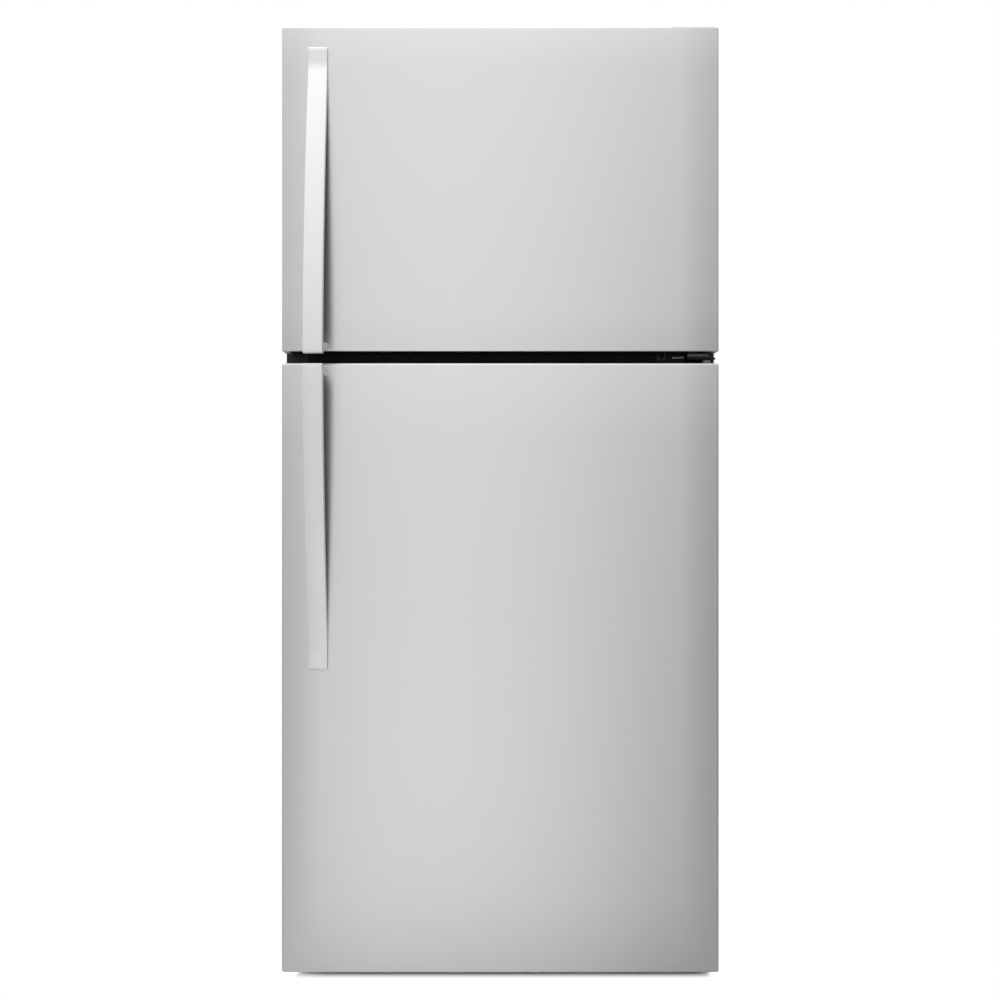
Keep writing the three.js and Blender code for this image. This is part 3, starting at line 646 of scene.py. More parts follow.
def handle_fittings(door, front, height, lean):
    """The bar's back, a dark strip of painted shade that the door reflects as a shadow beside the handle, and
    its foot, whose end at the door is `lean` lower.
    """
    node, body = f"{door}_handle", f"{door}_door"
    low, high = box(node)
    left, right = low.x + 2, high.x - 2
    # painted shade: this dark strip on the bar's back stands in for the shade that the door shows beside the
    # handle
    loops = []
    for along in spaced(20, 0.84 * (high.z - low.z), 33):
        near, far = front(along) + HANDLE_THICK - 0.5, front(along) + HANDLE_THICK + 1.5
        strip = ((left, near), (right, near), (right, far), (left, far))
        loops.append([(x, y, height(along)) for x, y in strip])
    bm = bmesh.new()
    add_loops(bm, loops)
    piece(f"{node}_painted_shade_backing", bm, body=body, slot="black_plastic", material=SHADE_BACKING, bevel=0.6, angle=60)
    bottom, top = sorted((height(15.5), height(2.5)))
    near, far = low.y + HANDLE_THICK - 0.5, box(f"{door}_door_skin")[0].y - 0.3
    bm = bmesh.new()
    outline = [(near, bottom), (far, bottom - lean), (far, top - lean), (near, top)]
    add_side_prism(bm, outline, low.x + 0.6, high.x - 0.6)
    piece(f"{node}_foot", bm, body=body, slot="handle_metal", bevel=1.2, segments=3)


def gasket(door):
    """A magnetic gasket: the dart, two bellows and the soft face, mitred at its corners."""
    node = f"{door}_door_gasket"
    low, high = box(node)
    depth, width = high.y - low.y, 15
    near = [(0, 0), (0.12, 0.1), (0, 0.3), (0.13, 0.42), (0, 0.6), (0.02, 0.88), (0.1, 1), (0.42, 1)]
    profile = [*near, (0.5, 0.93), *[(1 - u, v) for u, v in near[::-1]]]
    bm = bmesh.new()
    add_frame(bm, low, high, 1, [(width * u, depth * v) for u, v in profile])
    piece(f"{door}_door_seal", bm, node, bevel=0.4, angle=25)


def door_liner(door):
    """The moulded inner door: its plate, two ribs across it and the dikes that hold the bins."""
    node = f"{door}_door_liner"
    low, high = box(node)
    base = box(f"{door}_door_skin")[0].z
    plate = low.y + 2.5
    sunk = plate - 0.3
    bm = bmesh.new()
    add_slab(bm, low, (high.x, plate, high.z), 1, 0, 1.2, 4)
    outer, foot, top, rear = (304, 47, 489, high.y) if door == "freezer" else (318, 86, 957, -221.3)
    for left in (-outer, outer - 20):
        dike_low = (left, sunk, base + foot)
        dike_high = (left + 20, rear, base + top)
        add_boss(bm, dike_low, dike_high, 1, 6, 3, 5, 1)
    for z in (base + 24, high.z - 32):
        rib_high = (300, plate + 2.4, z + 10)
        add_boss(bm, (-300, sunk, z), rib_high, 1, 4, 1, 1)
    if door == "fridge":  # the block that holds the light switch in
        block_low, block_high = (232, sunk, 996), (260, -262, 1020)
        add_boss(bm, block_low, block_high, 1, 5, 3, 2.5, 0.5)
    piece(f"{door}_inner_panel", bm, node)


def door_bin(node):
    """A bin moulded in one piece, with a beaded rim and a higher back, and the rails along its front."""
    low, high = box(node)
    tall, bead = 18, 11
    mouth = high.z - tall
    rim = [(mouth - bead - 2, 1.8), (mouth - bead, 0.2), (mouth - 2, 0), (mouth, 1.2)]
    rows = rounding(low.z, 3, 9, 1) + rim
    bm = bmesh.new()
    rings = add_rings(bm, low, high, 2, rows, 16, capped=(True, False))
    for vertex in sum(rings[-len(rim):], []):
        if vertex.co.y < low.y + 20:
            vertex.co.z += tall
    body, slot = BODY_OF[node], SLOT_OF[node]
    piece(f"{node}_tray", bm, node, wall=2.2, bevel=0.6, angle=45)
    bm = bmesh.new()
    for z, radius in ((mouth, 3.4), (low.z + 0.55 * (mouth - low.z), 1.6)):
        ends = (low.x + 16, high.x - 16)
        add_tube(bm, [(x, high.y - 3.4, z - bead / 2) for x in ends], radius, 16)
    piece(f"{node}_rail", bm, body=body, slot=slot, bevel=0.5)


def dairy():
    """The butter compartment: a rounded box open towards the cabinet, and its clear lid."""
    low, high = box("dairy_compartment")
    mouth = high.y - 5
    rows = [*rounding(low.y, 1.5, 8, 1), (mouth, 0.4), (mouth + 0.2, 0)]
    bm = bmesh.new()
    add_rings(bm, low, high, 1, rows, 9, capped=(True, False))
    piece("dairy_box", bm, "dairy_compartment", wall=2.2, bevel=0.6)
    low, high = box("dairy_lid")
    side = 127
    bm = bmesh.new()
    add_slab(bm, low, (high.x, low.y + 3, high.z), 1, 1.2, 1.2, 6)
    grip_low = (low.x + side, low.y + 2, low.z + 0.2)
    add_box(bm, grip_low, (high.x - side, high.y, low.z + 3.4), 1.2)
    ends = (low.x + 1, high.x - 1)
    add_tube(bm, [(x, low.y + 1.6, high.z - 2.2) for x in ends], 2, 16)
    piece("dairy_flap", bm, "dairy_lid", bevel=0.3)


def build_doors():
    for door, gap_up, foot_lean in (("freezer", False, -9), ("fridge", True, 0.8)):
        door_skin(door)
        curve = handle_curve(door, gap_up)
        handle_bar(door, *curve)
        handle_fittings(door, *curve, foot_lean)
        gasket(door)
        door_liner(door)
        for end in ("top", "bottom"):
            recast(f"{door}_door_{end}_cap", 0.8)
    for node in ("freezer_door_lower_bin", "freezer_door_upper_bin", "gallon_bin", "middle_door_bin"):
        door_bin(node)
    dairy()


# ---------------------------------------------------------------- cabinet
def wrap_loop(half, top, bottom, y, corner):
    """The open outline of the cabinet's side, top and side sheets at one depth."""
    radius = max(corner, 0.2)
    middle = (bottom + top) / 2
    left = arc((-half + radius, top - radius), radius, 180, 90, 6)
    right = arc((half - radius, top - radius), radius, 90, 0, 6)
    outline = [(-half, bottom), (-half, middle), *left, *right, (half, middle), (half, bottom)]
    return [(x, y, z) for x, z in outline]


def cabinet_shell():
    """One sheet wrapped round the sides and top, folded in at the front for the gaskets and at the back."""
    low, high = box("cabinet_wrapper")
    corner, fold = 7, 2.2
    back = high.y - 2.6
    side_lip, top_lip, rear_lip = 38, 34, 11
    folds = rounding(low.y, 0, fold, 1) + rounding(back, 0, fold, -1)[::-1]
    loops = [wrap_loop(high.x - side_lip, high.z - top_lip, low.z, low.y, 1)]
    loops += [wrap_loop(high.x - inset, high.z - inset, low.z, y, corner - inset) for y, inset in folds]
    loops.append(wrap_loop(high.x - rear_lip, high.z - rear_lip, low.z, back, 1))
    bm = bmesh.new()
    add_loops(bm, loops, closed=False)
    piece("cabinet_sheet", bm, "cabinet_wrapper", wall=SHEET, bevel=0.3, angle=60)


LINER_WALL = 2.5


def liner(node, low, high, floor_of, back):
    """A vacuum-formed compartment: rounded inside corners, and a lip that turns out along its front."""
    x, front, _ = low
    corner = 16
    deepest = (x, front, floor_of[-1][1])
    loops = [ring(*box(node), 1, front, 0, 3)]
    loops += [ring(low, high, 1, y, inset, corner) for y, inset in rounding(front, 0, 2, 1, hollow=True)]
    loops += [ring((x, front, floor), high, 1, y, 0, corner) for y, floor in floor_of]
    loops += [ring(deepest, high, 1, y, inset, corner) for y, inset in rounding(back, 0, 14, -1)[::-1]]
    bm = bmesh.new()
    add_loops(bm, loops, capped=(False, True))
    piece(f"{node}_moulding", bm, node, wall=2.2, outwards=False, angle=50)


def build_liners():
    shelf_low, shelf_high = box("freezer_shelf")
    low, high = box("freezer_liner")
    front, floor, ceiling = low.y, low.z + LINER_WALL, 1590
    left, right = shelf_low.x - 0.3, shelf_high.x + 0.3
    depths = [(front + 300, floor)]
    liner("freezer_liner", (left, front, floor), (right, front, ceiling), depths, high.y - LINER_WALL)

    # The fresh food floor turns up in front of the machine compartment, and slopes back over it.
    half, floor, ceiling = 333, 92, 1034
    step, shoulder, ledge = front + 430, 330, 400
    depths = [(step - 12, floor), (step - 4, floor + 3), (step - 1, floor + 12)]
    depths += [(step + rise, shoulder + rise) for rise in spaced(0, ledge - shoulder, 4)]
    back = box("fresh_food_liner")[1].y - LINER_WALL
    liner("fresh_food_liner", (-half, front, floor), (half, front, ceiling), depths, back)

    bm = bmesh.new()
    for node, half in (("freezer_shelf", 319.5), ("upper_glass_shelf", 332.5), ("lower_glass_shelf", 332.5)):
        low, high = box(node)
        for sign in (-1, 1):
            left, right = sorted((sign * (half + 0.8), sign * (half - 9)))
            top, front = low.z - 0.4, low.y + 12
            add_box(bm, (left, front, top - 8), (right, high.y - 4, top), 2.4)
    piece("shelf_ledges", bm, slot="white_plastic")


def build_back():
    """The rear: a beaded steel panel, the louvred cover of the machine compartment and their screws."""
    low, high = box("back_panel")
    sheet = high.y - 4
    margin, bead = 70, 22
    bm = bmesh.new()
    add_box(bm, (low.x, sheet - SHEET, low.z), (high.x, sheet, high.z), 0.3, 2)
    for x in spaced(low.x + margin, high.x - margin - bead, 7):
        for bottom, top in ((low.z + margin, low.z + 620), (low.z + 690, high.z - margin)):
            bead_low, bead_high = (x, sheet - 0.2, bottom), (x + bead, sheet + 2.6, top)
            add_boss(bm, bead_low, bead_high, 1, 11, 1.4, 1.2, 1.5)
    piece("rear_panel", bm, "back_panel")
    recast("machine_compartment_cover", 0.25)
    cover = box("machine_compartment_cover")[0].z
    bm = bmesh.new()
    spots = [(x, z) for x in (-372.5, 372.5) for z in (360, 620, 900, 1200, 1600)]
    spots += [(x, high.z - 4.2) for x in (-250, 0, 250)]
    for x, z in spots:
        add_screw(bm, (x, 422.4, z), REAR, 2.6)
    for x in (-365, -120, 120, 365):
        add_screw(bm, (x, 422.2, low.z + 6), REAR, 2.8)
        add_screw(bm, (x * 0.99, 422.2, cover + 8), REAR, 2.8)
    piece("rear_screws", bm, slot="zinc_steel")
    recast("cord_bushing", 0.8)


def levelling_leg(side):
    """A turned foot, its nut and its threaded shank."""
    node = f"leveling_leg_{side}"
    center = middle_of(node)
    matrix = facing(UP, (center.x, center.y, 0))
    foot = [(0, 0), (11, 0), (13.2, 0.5), (13.9, 1.6), (13.9, 4.6), (13.2, 5.8), (11.5, 6.6)]
    foot += [(7.2, 7), (7.2, 7.4), (0, 7.4)]
    thread = []
    for turn in range(28):
        thread += [(3.7, 15.2 + 1.25 * turn), (4.75, 15.8 + 1.25 * turn)]
    bm = bmesh.new()
    add_lathe(bm, foot, matrix, 48)
    add_hexagon(bm, [(6.84, 7), (7.6, 7.6), (7.6, 14.4), (6.84, 15)], matrix)
    add_lathe(bm, [(0, 14.6), (3.6, 14.6), *thread, (3.6, 51.2), (3, 51.9), (0, 51.9)], matrix, 24)
    piece(f"{node}_turned", bm, node)


def rear_roller(side):
    """A moulded wheel with a grooved tread."""
    node = f"rear_roller_{side}"
    half = [(3.4, 9.6), (6.0, 9.8), (6.6, 7.6), (10.6, 7.6), (11.2, 9.8), (12.6, 9.9), (13.6, 9.3), (14, 8)]
    half += [(14, 6), (13.4, 5.4), (13.4, 4.4), (14, 3.8), (14, 1.2), (13.4, 0.6)]
    bm = bmesh.new()
    add_lathe(bm, [*half, *[(r, -z) for r, z in half[::-1]]], facing((1, 0, 0), middle_of(node)), 48)
    piece(f"{node}_tread", bm, node)


def build_base():
    for node, width in (("front_rail", 0.8), ("base_pan", 0.4), ("toe_grille", 0.7), ("mullion_cover", 0.8)):
        recast(node, width)
    for side in ("left", "right"):
        levelling_leg(side)
        rear_roller(side)


HINGE_AXIS = (360, -314)  # the line of the doors' pins


def build_hinges():
    for node in ("bottom_hinge", "center_hinge", "top_hinge"):
        recast(node, 0.7, 3)
    plate = box("top_hinge")[1].z
    bm = bmesh.new()
    for x, y in ((318, -262), (318, -226), (352, -226)):
        add_screw(bm, (x, y, plate), UP, 3.6)
    for point in ((336, -262, 26.5), (364, -262, 26.5)):
        add_screw(bm, point, DOWN, 3.6)
    piece("hinge_screws", bm, slot="zinc_steel")
    bm = bmesh.new()
    for base, top, r in ((1078.8, 1086.6, 6.4), (1067.2, 1075.2, 6.4), (13.1, 17.6, 9.6)):
        outline = [(4.1, base), (r, base), (r + 0.6, base + 0.6), (r + 0.6, top - 0.6), (r, top), (4.1, top)]
        add_lathe(bm, outline, facing(UP, (*HINGE_AXIS, 0)), 32)
    piece("hinge_bushings", bm, slot="grey_plastic")
    centre_hinge_fittings()
    top_hinge_cover()


def centre_hinge_fittings():
    """The flange's screws, a white dot on the near screw and a white strip along the flange that are painted
    highlights, and the cam that the freezer door rides on.
    """
    low, high = box("center_hinge")
    flange = low.y + 38.5
    near_x, near_z = low.x + 9.5, high.z - 12.6
    far_x = low.x + 34
    bm = bmesh.new()
    for x, z in ((near_x, near_z), (far_x, low.z + 9), (far_x, high.z - 9)):
        add_screw(bm, (x, flange, z), FRONT, 4.2)
    piece("centre_hinge_screws", bm, slot="hinge_steel")
    hole, rim = arc((near_x, near_z), 5.6, 225, 570, 23), square((near_x, near_z), 7, 6)
    sides = ((hole, flange), (rim, flange), (rim, flange - 1.2), (hole, flange - 1.2))
    bm = bmesh.new()
    add_torus(bm, [[(x, y, z) for x, z in outline] for outline, y in sides])
    piece("centre_hinge_seat", bm, slot="hinge_steel", material=CAM, bevel=0.3, angle=60)
    bm = bmesh.new()
    # painted highlight: a small white dome on the near screw stands in for the glint on its head
    head = facing(FRONT, (near_x, flange - 2.6, near_z))
    add_lathe(bm, [(0, 0), (1.6, 0), (1.3, 0.6), (0, 0.9)], head, 16)
    # painted highlight: a white strip along the flange stands in for the light that the hinge arm catches
    highlight_strip_low = (far_x - 6, flange - 3.5, 1080.4)
    add_box(bm, highlight_strip_low, (far_x + 15, flange, 1083.6), 0.7)
    piece("centre_hinge_painted_highlights", bm, slot="white_plastic")
    bm = bmesh.new()
    cam_low = (low.x + 51, low.y + 3, 1079.6)
    add_box(bm, cam_low, (low.x + 88, low.y + 18, 1086.2), 1.6)
    piece("centre_hinge_cam", bm, slot="hinge_steel", material=CAM)


def top_hinge_cover():
    """A moulded hood over the top hinge, open below and against the cabinet."""
    low, high = box("top_hinge_cover")
    wrapper_low, wrapper_high = box("cabinet_wrapper")
    front, seat = wrapper_low.y - 0.4, wrapper_high.z + 0.4
    outline = [
        (low.y, low.z), (front, low.z), (front, seat), (high.y, seat), (high.y, high.z),
        (front + 8.4, high.z), (low.y, low.z + 7),
    ]
    bm = bmesh.new()
    add_side_prism(bm, outline, low.x, high.x)

    def upper(edge):
        heights = [vertex.co.z for vertex in edge.verts]
        if min(heights) > seat + 1:
            return True
        against = any(abs(vertex.co.y - front) < 0.01 for vertex in edge.verts)
        return max(heights) - min(heights) > 3 and min(heights) > low.z - 1e-3 and not against

    edges = [edge for edge in bm.edges if upper(edge)]
    bmesh.ops.bevel(bm, geom=edges, offset=3, segments=5, affect="EDGES", profile=0.5)
    opened = []
    for face in bm.faces:
        middle = face.calc_center_median()
        below = middle.z < seat + 0.2 and abs(face.normal.z) > 0.9
        if below or abs(middle.y - front) < 0.01:
            opened.append(face)
    bmesh.ops.delete(bm, geom=opened, context="FACES")
    piece("top_hinge_hood", bm, "top_hinge_cover", wall=1.6, bevel=0.4, angle=50)
    bm = bmesh.new()
    spot = ((low.x + high.x) / 2, high.y - 30, high.z - 1.6)
    add_screw(bm, spot, UP, 2.4, hexagonal=False)
    piece("hood_screw", bm, slot="black_plastic")


# ---------------------------------------------------------------- compartments
def shelf(node, drop=0.0):
    """A glass pane in a moulded frame, with a deeper front trim and a raised rear stop."""
    low, high = box(node)
    top = high.z - 6
    bm = bmesh.new()
    section = [(0, 0), (12, 0), (12, 5), (14, 5.6), (14, 6.6), (9.5, 6.8), (9.5, 9.4), (8, 10), (0, 10)]
    add_frame(bm, (low.x, low.y + 3, top - 10), (high.x, high.y, top), 2, section)
    trim = [(1.5, -15.5), (7, -15.8), (9, -11), (14, -9.5), (14, -0.6), (9, -0.2)]
    trim += [(6 - 6 * math.sin(a), 6 * math.cos(a) - 6.2) for a in (0, 0.4, 0.8, 1.2, 1.57)]
    add_side_prism(bm, [(low.y + y, top + z) for y, z in trim], low.x, high.x)
    add_box(bm, (low.x, high.y - 9, top - 6), (high.x, high.y - 1, high.z), 2.5)
    if drop:
        for sign in (-1, 1):
            left, right = sorted((sign * 297, sign * high.x))
            panel_low, panel_high = (left, low.y + 4, top - drop), (right, high.y - 5, top - 9)
            add_box(bm, panel_low, panel_high, 4, 4)
    piece(f"{node}_frame", bm, node, slot="white_plastic", bevel=0.7, angle=40)
    bm = bmesh.new()
    pane_low = (low.x + 9.8, low.y + 12.8, top - 4)
    pane_high = (high.x - 9.8, high.y - 9.8, top - 0.8)
    add_slab(bm, pane_low, pane_high, 2, 0.8, 0.8, 3, steps=2)
    piece(f"{node}_pane", bm, slot="shelf_glass")


def crisper(side):
    """A clear drawer with drafted walls and a rolled rim, and a front with a finger pull."""
    node, body = f"crisper_drawer_{side}", f"{side}_crisper"
    low, high = box(node)
    front, rim = low.y + 10, high.z - 8
    rows = rounding(low.z, 5, 14, 1)
    rows += [(rim - 9, 3), (rim - 6, 0.4), (rim - 1, 0), (rim, 0.8)]
    bm = bmesh.new()
    add_rings(bm, (low.x, front + 2.4, low.z), high, 2, rows, 20, capped=(True, False))
    piece(f"{node}_tub", bm, node, wall=2.4, bevel=0.6, angle=45)
    bm = bmesh.new()
    face_low, face_high = (low.x, front, low.z + 1), (high.x, front + 5, high.z)
    add_slab(bm, face_low, face_high, 1, 2, 1, 9)
    pull = [(11, 266), (1, 268), (0, 270), (1.5, 272.6), (11, 277)]
    add_side_prism(bm, [(low.y + y, z) for y, z in pull], low.x + 60, high.x - 60)
    piece(f"{node}_front", bm, body=body, slot="clear_plastic", bevel=0.5)


def humidity_slide(side):
    """A plate with three finger ribs."""
    node = f"humidity_slide_{side}"
    low, high = box(node)
    plate, middle = high.y - 2.2, (low.x + high.x) / 2
    bm = bmesh.new()
    add_slab(bm, (low.x, plate, low.z), high, 1, 1, 0, 4)
    for x in spaced(middle - 3.4, middle + 3.4, 3):
        add_box(bm, (x - 1, low.y, low.z + 1), (x + 1, plate + 1, high.z - 1), 0.8)
    piece(f"{node}_tab", bm, node)


def knob(name):
    """A fluted dial with a pointer bar and a pale line on it."""
    node, body = f"{name}_control_knob", f"{name}_control"
    low, high = box(node)
    center = (low + high) / 2
    matrix = facing(FRONT, (center.x, low.y + 21, center.z))
    radius, flutes = 19, 28
    profile = [(0, 0.99), (1.5, 1.0), (4, 0.985), (11, 0.93), (13.6, 0.91), (14.6, 0.87), (15, 0.8)]
    loops = []
    for height, share in profile:
        depth = 0.018 if 4 <= height <= 13.6 else 0
        loop = []
        for i in range(flutes * 4):
            a = 2 * math.pi * i / (flutes * 4)
            r = radius * share * (0.982 + depth * math.cos(a * flutes))
            loop.append(matrix @ Vector((r * math.cos(a), r * math.sin(a), height)))
        loops.append(loop)
    bm = bmesh.new()
    add_loops(bm, loops)
    piece(f"{name}_dial", bm, node, angle=45)
    bm = bmesh.new()
    bar_low = (center.x - 3.2, low.y, low.z + 2.5)
    bar_high = (center.x + 3.2, low.y + 7, high.z - 2.5)
    add_boss(bm, bar_low, bar_high, -1, 3, 0.6, 1.2, 0.3)
    piece(f"{name}_pointer", bm, body=body, slot="grey_plastic")
    bm = bmesh.new()
    line_low = (center.x - 0.5, low.y - 0.05, center.z + 6)
    add_box(bm, line_low, (center.x + 0.5, low.y + 0.4, high.z - 5), 0.15)
    piece(f"{name}_pointer_line", bm, body=body, slot="white_plastic")
    dial_marks(name, center)


def dial_marks(name, center):
    """Dots that grow round the dial, as far as the housing's face reaches."""
    low, high = box("control_housing")
    bm = bmesh.new()
    for i in range(9):
        a = math.radians(30 * i - 120)
        x, z = center.x + 24 * math.sin(a), center.z + 24 * math.cos(a)
        if low.z + 2 < z < high.z - 2:
            size = 0.7 + 0.09 * i
            mark = [(0, 0), (size, 0), (size, 0.25), (size * 0.8, 0.35), (0, 0.35)]
            add_lathe(bm, mark, facing(FRONT, (x, low.y + 0.1, z)), 16)
    piece(f"{name}_dial_marks", bm, slot="grey_plastic", material=MARKS)


def wire_shelf():
    """Wires from front to back over three bars, inside a bent rim, and a raised rail along the front."""
    low, high = box("freezer_shelf")
    wires, rim = high.z - 9.6, 2.6
    bm = bmesh.new()
    for x in spaced(low.x + 12, high.x - 12, 41):
        add_tube(bm, [(x, y, wires) for y in (low.y + 6, high.y - 5)], 1.5, 10)
    for y in (low.y + 120, low.y + 260, low.y + 400):
        add_tube(bm, [(x, y, high.z - 12.8) for x in (low.x + 8, high.x - 8)], 2, 12)
    inside = Vector((rim, rim, 0))
    add_tube(bm, ring(low + inside, high - inside, 2, wires, 0, 12), rim, 12, closed=True)
    ends = (low.x + 4, high.x - 4)
    front, rail = low.y + 3.4, high.z - 2.8
    add_tube(bm, [(x, front, rail) for x in ends], 2.4, 12)
    for x in spaced(*ends, 5):
        add_tube(bm, [(x, front, z) for z in (wires, rail)], 1.6, 10)
    piece("freezer_wire_shelf", bm, "freezer_shelf")


def lamp_lens():
    """A ribbed lens under the control housing."""
    housing = box("control_housing")[0].z
    half, front, rear, below = 58.5, -132.5, -65.5, housing - 1.4
    bm = bmesh.new()
    add_slab(bm, (-half, front, below), (half, rear, housing + 1.6), 2, 1.2, 0, 5)
    for i in range(12):
        x, y = half - 5, front + 6 + 5 * i
        add_box(bm, (-x, y, below - 0.4), (x, y + 2, below + 0.4), 0.35, 2)
    piece("lamp_lens", bm, slot="white_plastic", material=LAMP)


def light_switch():
    """The plunger, its collar and its guide."""
    low, _ = box("door_light_switch")
    center = middle_of("door_light_switch")
    plunger = [(0, 0), (3.2, 0), (4.4, 0.5), (4.9, 1.6), (5, 3), (5, 34), (7.9, 34.2), (8, 36), (8, 37.6)]
    plunger += [(5, 38), (5, 41.4), (0, 41.4)]
    bm = bmesh.new()
    add_lathe(bm, plunger, facing(REAR, (center.x, low.y, center.z)), 32)
    piece("light_switch_plunger", bm, "door_light_switch")


def evaporator_cover():
    """The air duct panel, with a collar round its fan, raised fields along its foot and screws."""
    recast("evaporator_cover", 0.9)
    low, high = box("evaporator_cover")
    hub = middle_of("evaporator_fan")
    collar = [(54, 0), (56, 0.4), (58, 2.4), (62, 2.8), (66, 2.2), (69, 0)]
    bm = bmesh.new()
    add_lathe(bm, collar, facing(FRONT, (hub.x, low.y + 0.4, hub.z)), 64)
    for x in (-300, 300):
        for z in (low.z + 20, high.z - 20):
            add_screw(bm, (x, low.y, z), FRONT, 3.2, hexagonal=False)
    for i in range(4):
        x = low.x + 50 + 145 * i
        field_low, field_high = (x, low.y - 1.6, low.z + 50), (x + 105, low.y + 0.3, low.z + 190)
        add_boss(bm, field_low, field_high, -1, 8, 0.8, 0.8)
    piece("evaporator_cover_mouldings", bm, slot="white_plastic")


def build_compartments():
    shelf("upper_glass_shelf")
    shelf("lower_glass_shelf")
    shelf("crisper_cover_shelf", drop=98)
    wire_shelf()
    for side in ("left", "right"):
        crisper(side)
        humidity_slide(side)
    for name in ("freezer", "refrigerator"):
        knob(name)
    recast("control_housing", 1.1, 3)
    lamp_lens()
    light_switch()
    evaporator_cover()


# ---------------------------------------------------------------- machinery
def serpentine(ends, start, pitch, runs, bend):
    """(along, across) points of runs between two ends, joined by a bend that is drawn as (out, across)."""
    route = []
    for run in range(runs):
        first, last = ends if run % 2 == 0 else ends[::-1]
        across = start + pitch * run
        route += [(first, across), (last, across)]
        if run < runs - 1:
            sign = 1 if last > first else -1
            route += [(last + sign * out, across + further) for out, further in bend]
    return route


def evaporator():
    """Thin fins between two end plates, on two rows of tube."""
    low, high = box("evaporator")
    bm = bmesh.new()
    for x in spaced(low.x + 6, high.x - 6, 61):
        fin_low, fin_high = (x - 0.15, low.y + 1, low.z + 5), (x + 0.15, high.y - 5, high.z - 5)
        add_box(bm, fin_low, fin_high)
    for x in (low.x, high.x - 3):
        add_box(bm, (x, low.y, low.z), (x + 3, high.y, high.z), 0.8)
    ends = (low.x + 10, high.x - 10)
    route = serpentine(ends, low.z + 20, 32, 5, [(5, 8), (5, 24)])
    for y in (low.y + 13, high.y - 18):
        add_tube(bm, [(x, y, z) for x, z in route], 4, 10)
    piece("evaporator_coil", bm, "evaporator")


def compressor():
    """A drawn steel shell on rubber grommets, with its terminal box and copper tubes."""
    middle = Vector((-245, 308, box("compressor")[0].z))
    dome = [(0, 10), (70, 11), (77, 13), (80, 18), (80, 86), (81.5, 87), (81.5, 93), (79.6, 94), (79, 112)]
    dome += [(75, 130), (66, 145), (52, 156), (36, 163), (18, 167), (0, 168)]
    bm = bmesh.new()
    add_lathe(bm, dome, facing(UP, middle), 64)
    add_box(bm, middle + Vector((-95, -60, 8)), middle + Vector((95, 60, 11.2)), 1)
    add_box(bm, middle + Vector((-30, 72, 50)), middle + Vector((30, 91.5, 110)), 5, 4)
    piece("compressor_body", bm, "compressor")
    grommet = [(4, 0), (11, 0), (11, 3), (9.4, 4), (9.4, 5.4), (11, 6.4), (11, 7.8), (4, 7.8)]
    bm = bmesh.new()
    for x in (-80, 80):
        for y in (-46, 46):
            add_lathe(bm, grommet, facing(UP, middle + Vector((x, y, 0))), 24)
    piece("compressor_grommets", bm, slot="gasket_rubber")
    bm = bmesh.new()
    for side, sink in ((-1, 0), (1, 20)):
        route = [
            (50 * side, 20, 130), (58 * side, 20, 165), (40 * side, 0, 190 - sink),
            (0, -30, 194 - sink), (50, -50, 190 - sink), (88, -58, 140),
        ]
        add_tube(bm, curved([middle + Vector(point) for point in route], 8), 3.2, 12)
    piece("compressor_tubes", bm, slot="machine_paint", material=COPPER)


def condenser():
    """Two layers of tube on two carriers, crossed by fine wires."""
    low, high = box("condenser_coil")
    pitch, turn = 34, 17
    bend = [(turn * math.sin(a), turn - turn * math.cos(a)) for a in (0.5, 1.05, 1.57, 2.1, 2.65)]
    route = serpentine((low.x + 20, high.x - 20), low.y + 13.2, pitch, 6, bend)
    bm = bmesh.new()
    for z in (high.z - 3.4, high.z - 12.4):
        add_tube(bm, [(x, y, z) for x, y in route], 3.2, 12)
    for x in (low.x + 28, high.x - 28):
        add_box(bm, (x - 1, low.y + 3, low.z), (x + 1, high.y - 3, high.z), 0.6)
    for i in range(34):
        x = low.x + 26 + 6.2 * i
        add_tube(bm, [(x, y, high.z - 8) for y in (low.y + 8, high.y - 8)], 0.8, 6)
    piece("condenser_tubes", bm, "condenser_coil")


def build_machinery():
    for node in ("evaporator_fan", "condenser_fan"):
        recast(node, 0.3)
    for node in ("evaporator_fan_motor", "condenser_fan_motor"):
        recast(node, 1)
    recast("drain_pan", 0.5)
    evaporator()
    compressor()
    condenser()


def build_insulation():
    """The foam fills the cabinet up to the sheet that closes its back."""
    low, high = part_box("cabinet_insulation")
    bm = cad_mesh("cabinet_insulation")
    for vertex in bm.verts:
        if vertex.co.y > high.y - 1 * MM:
            vertex.co.y = high.y - 4.4 * MM
    merge_facets(bm)

    def upper_corner(point):
        return point.z > high.z - 0.1 * MM and min(point.x - low.x, high.x - point.x) < 0.1 * MM

    corners = [edge for edge in bm.edges if all(upper_corner(vertex.co) for vertex in edge.verts)]
    bmesh.ops.bevel(bm, geom=corners, offset=9 * MM, segments=4, affect="EDGES", profile=0.5)
    piece("foamed_insulation", bm, "cabinet_insulation", bevel=0.5, unit=1)


# ---------------------------------------------------------------- studio
def build_camera():
    camera = bpy.data.objects.new("camera", bpy.data.cameras.new("camera"))
    camera.data.lens = 50
    camera.data.sensor_width = 36
    sideways, distance, height = -0.0005, 2.39, 0.831
    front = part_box("fridge_door_skin")[0].y
    camera.location = (sideways, front - distance, height)
    camera.rotation_euler = (math.pi / 2, 0, 0)
    bpy.context.scene.collection.objects.link(camera)
    bpy.context.scene.camera = camera


def empty_tree(owner):
    owner.use_nodes = True
    owner.node_tree.nodes.clear()
    return Nodes(owner.node_tree)


def camera_rays(tree, seen, unseen, output):
    """Shows the camera one shader and every other ray another."""
    mix = tree.node("MixShader")
    tree.link(tree.node("LightPath").outputs["Is Camera Ray"], mix.inputs[0])
    tree.link(unseen.outputs[0], mix.inputs[1])
    tree.link(seen.outputs[0], mix.inputs[2])
    tree.link(mix.outputs[0], tree.node(output).inputs["Surface"])


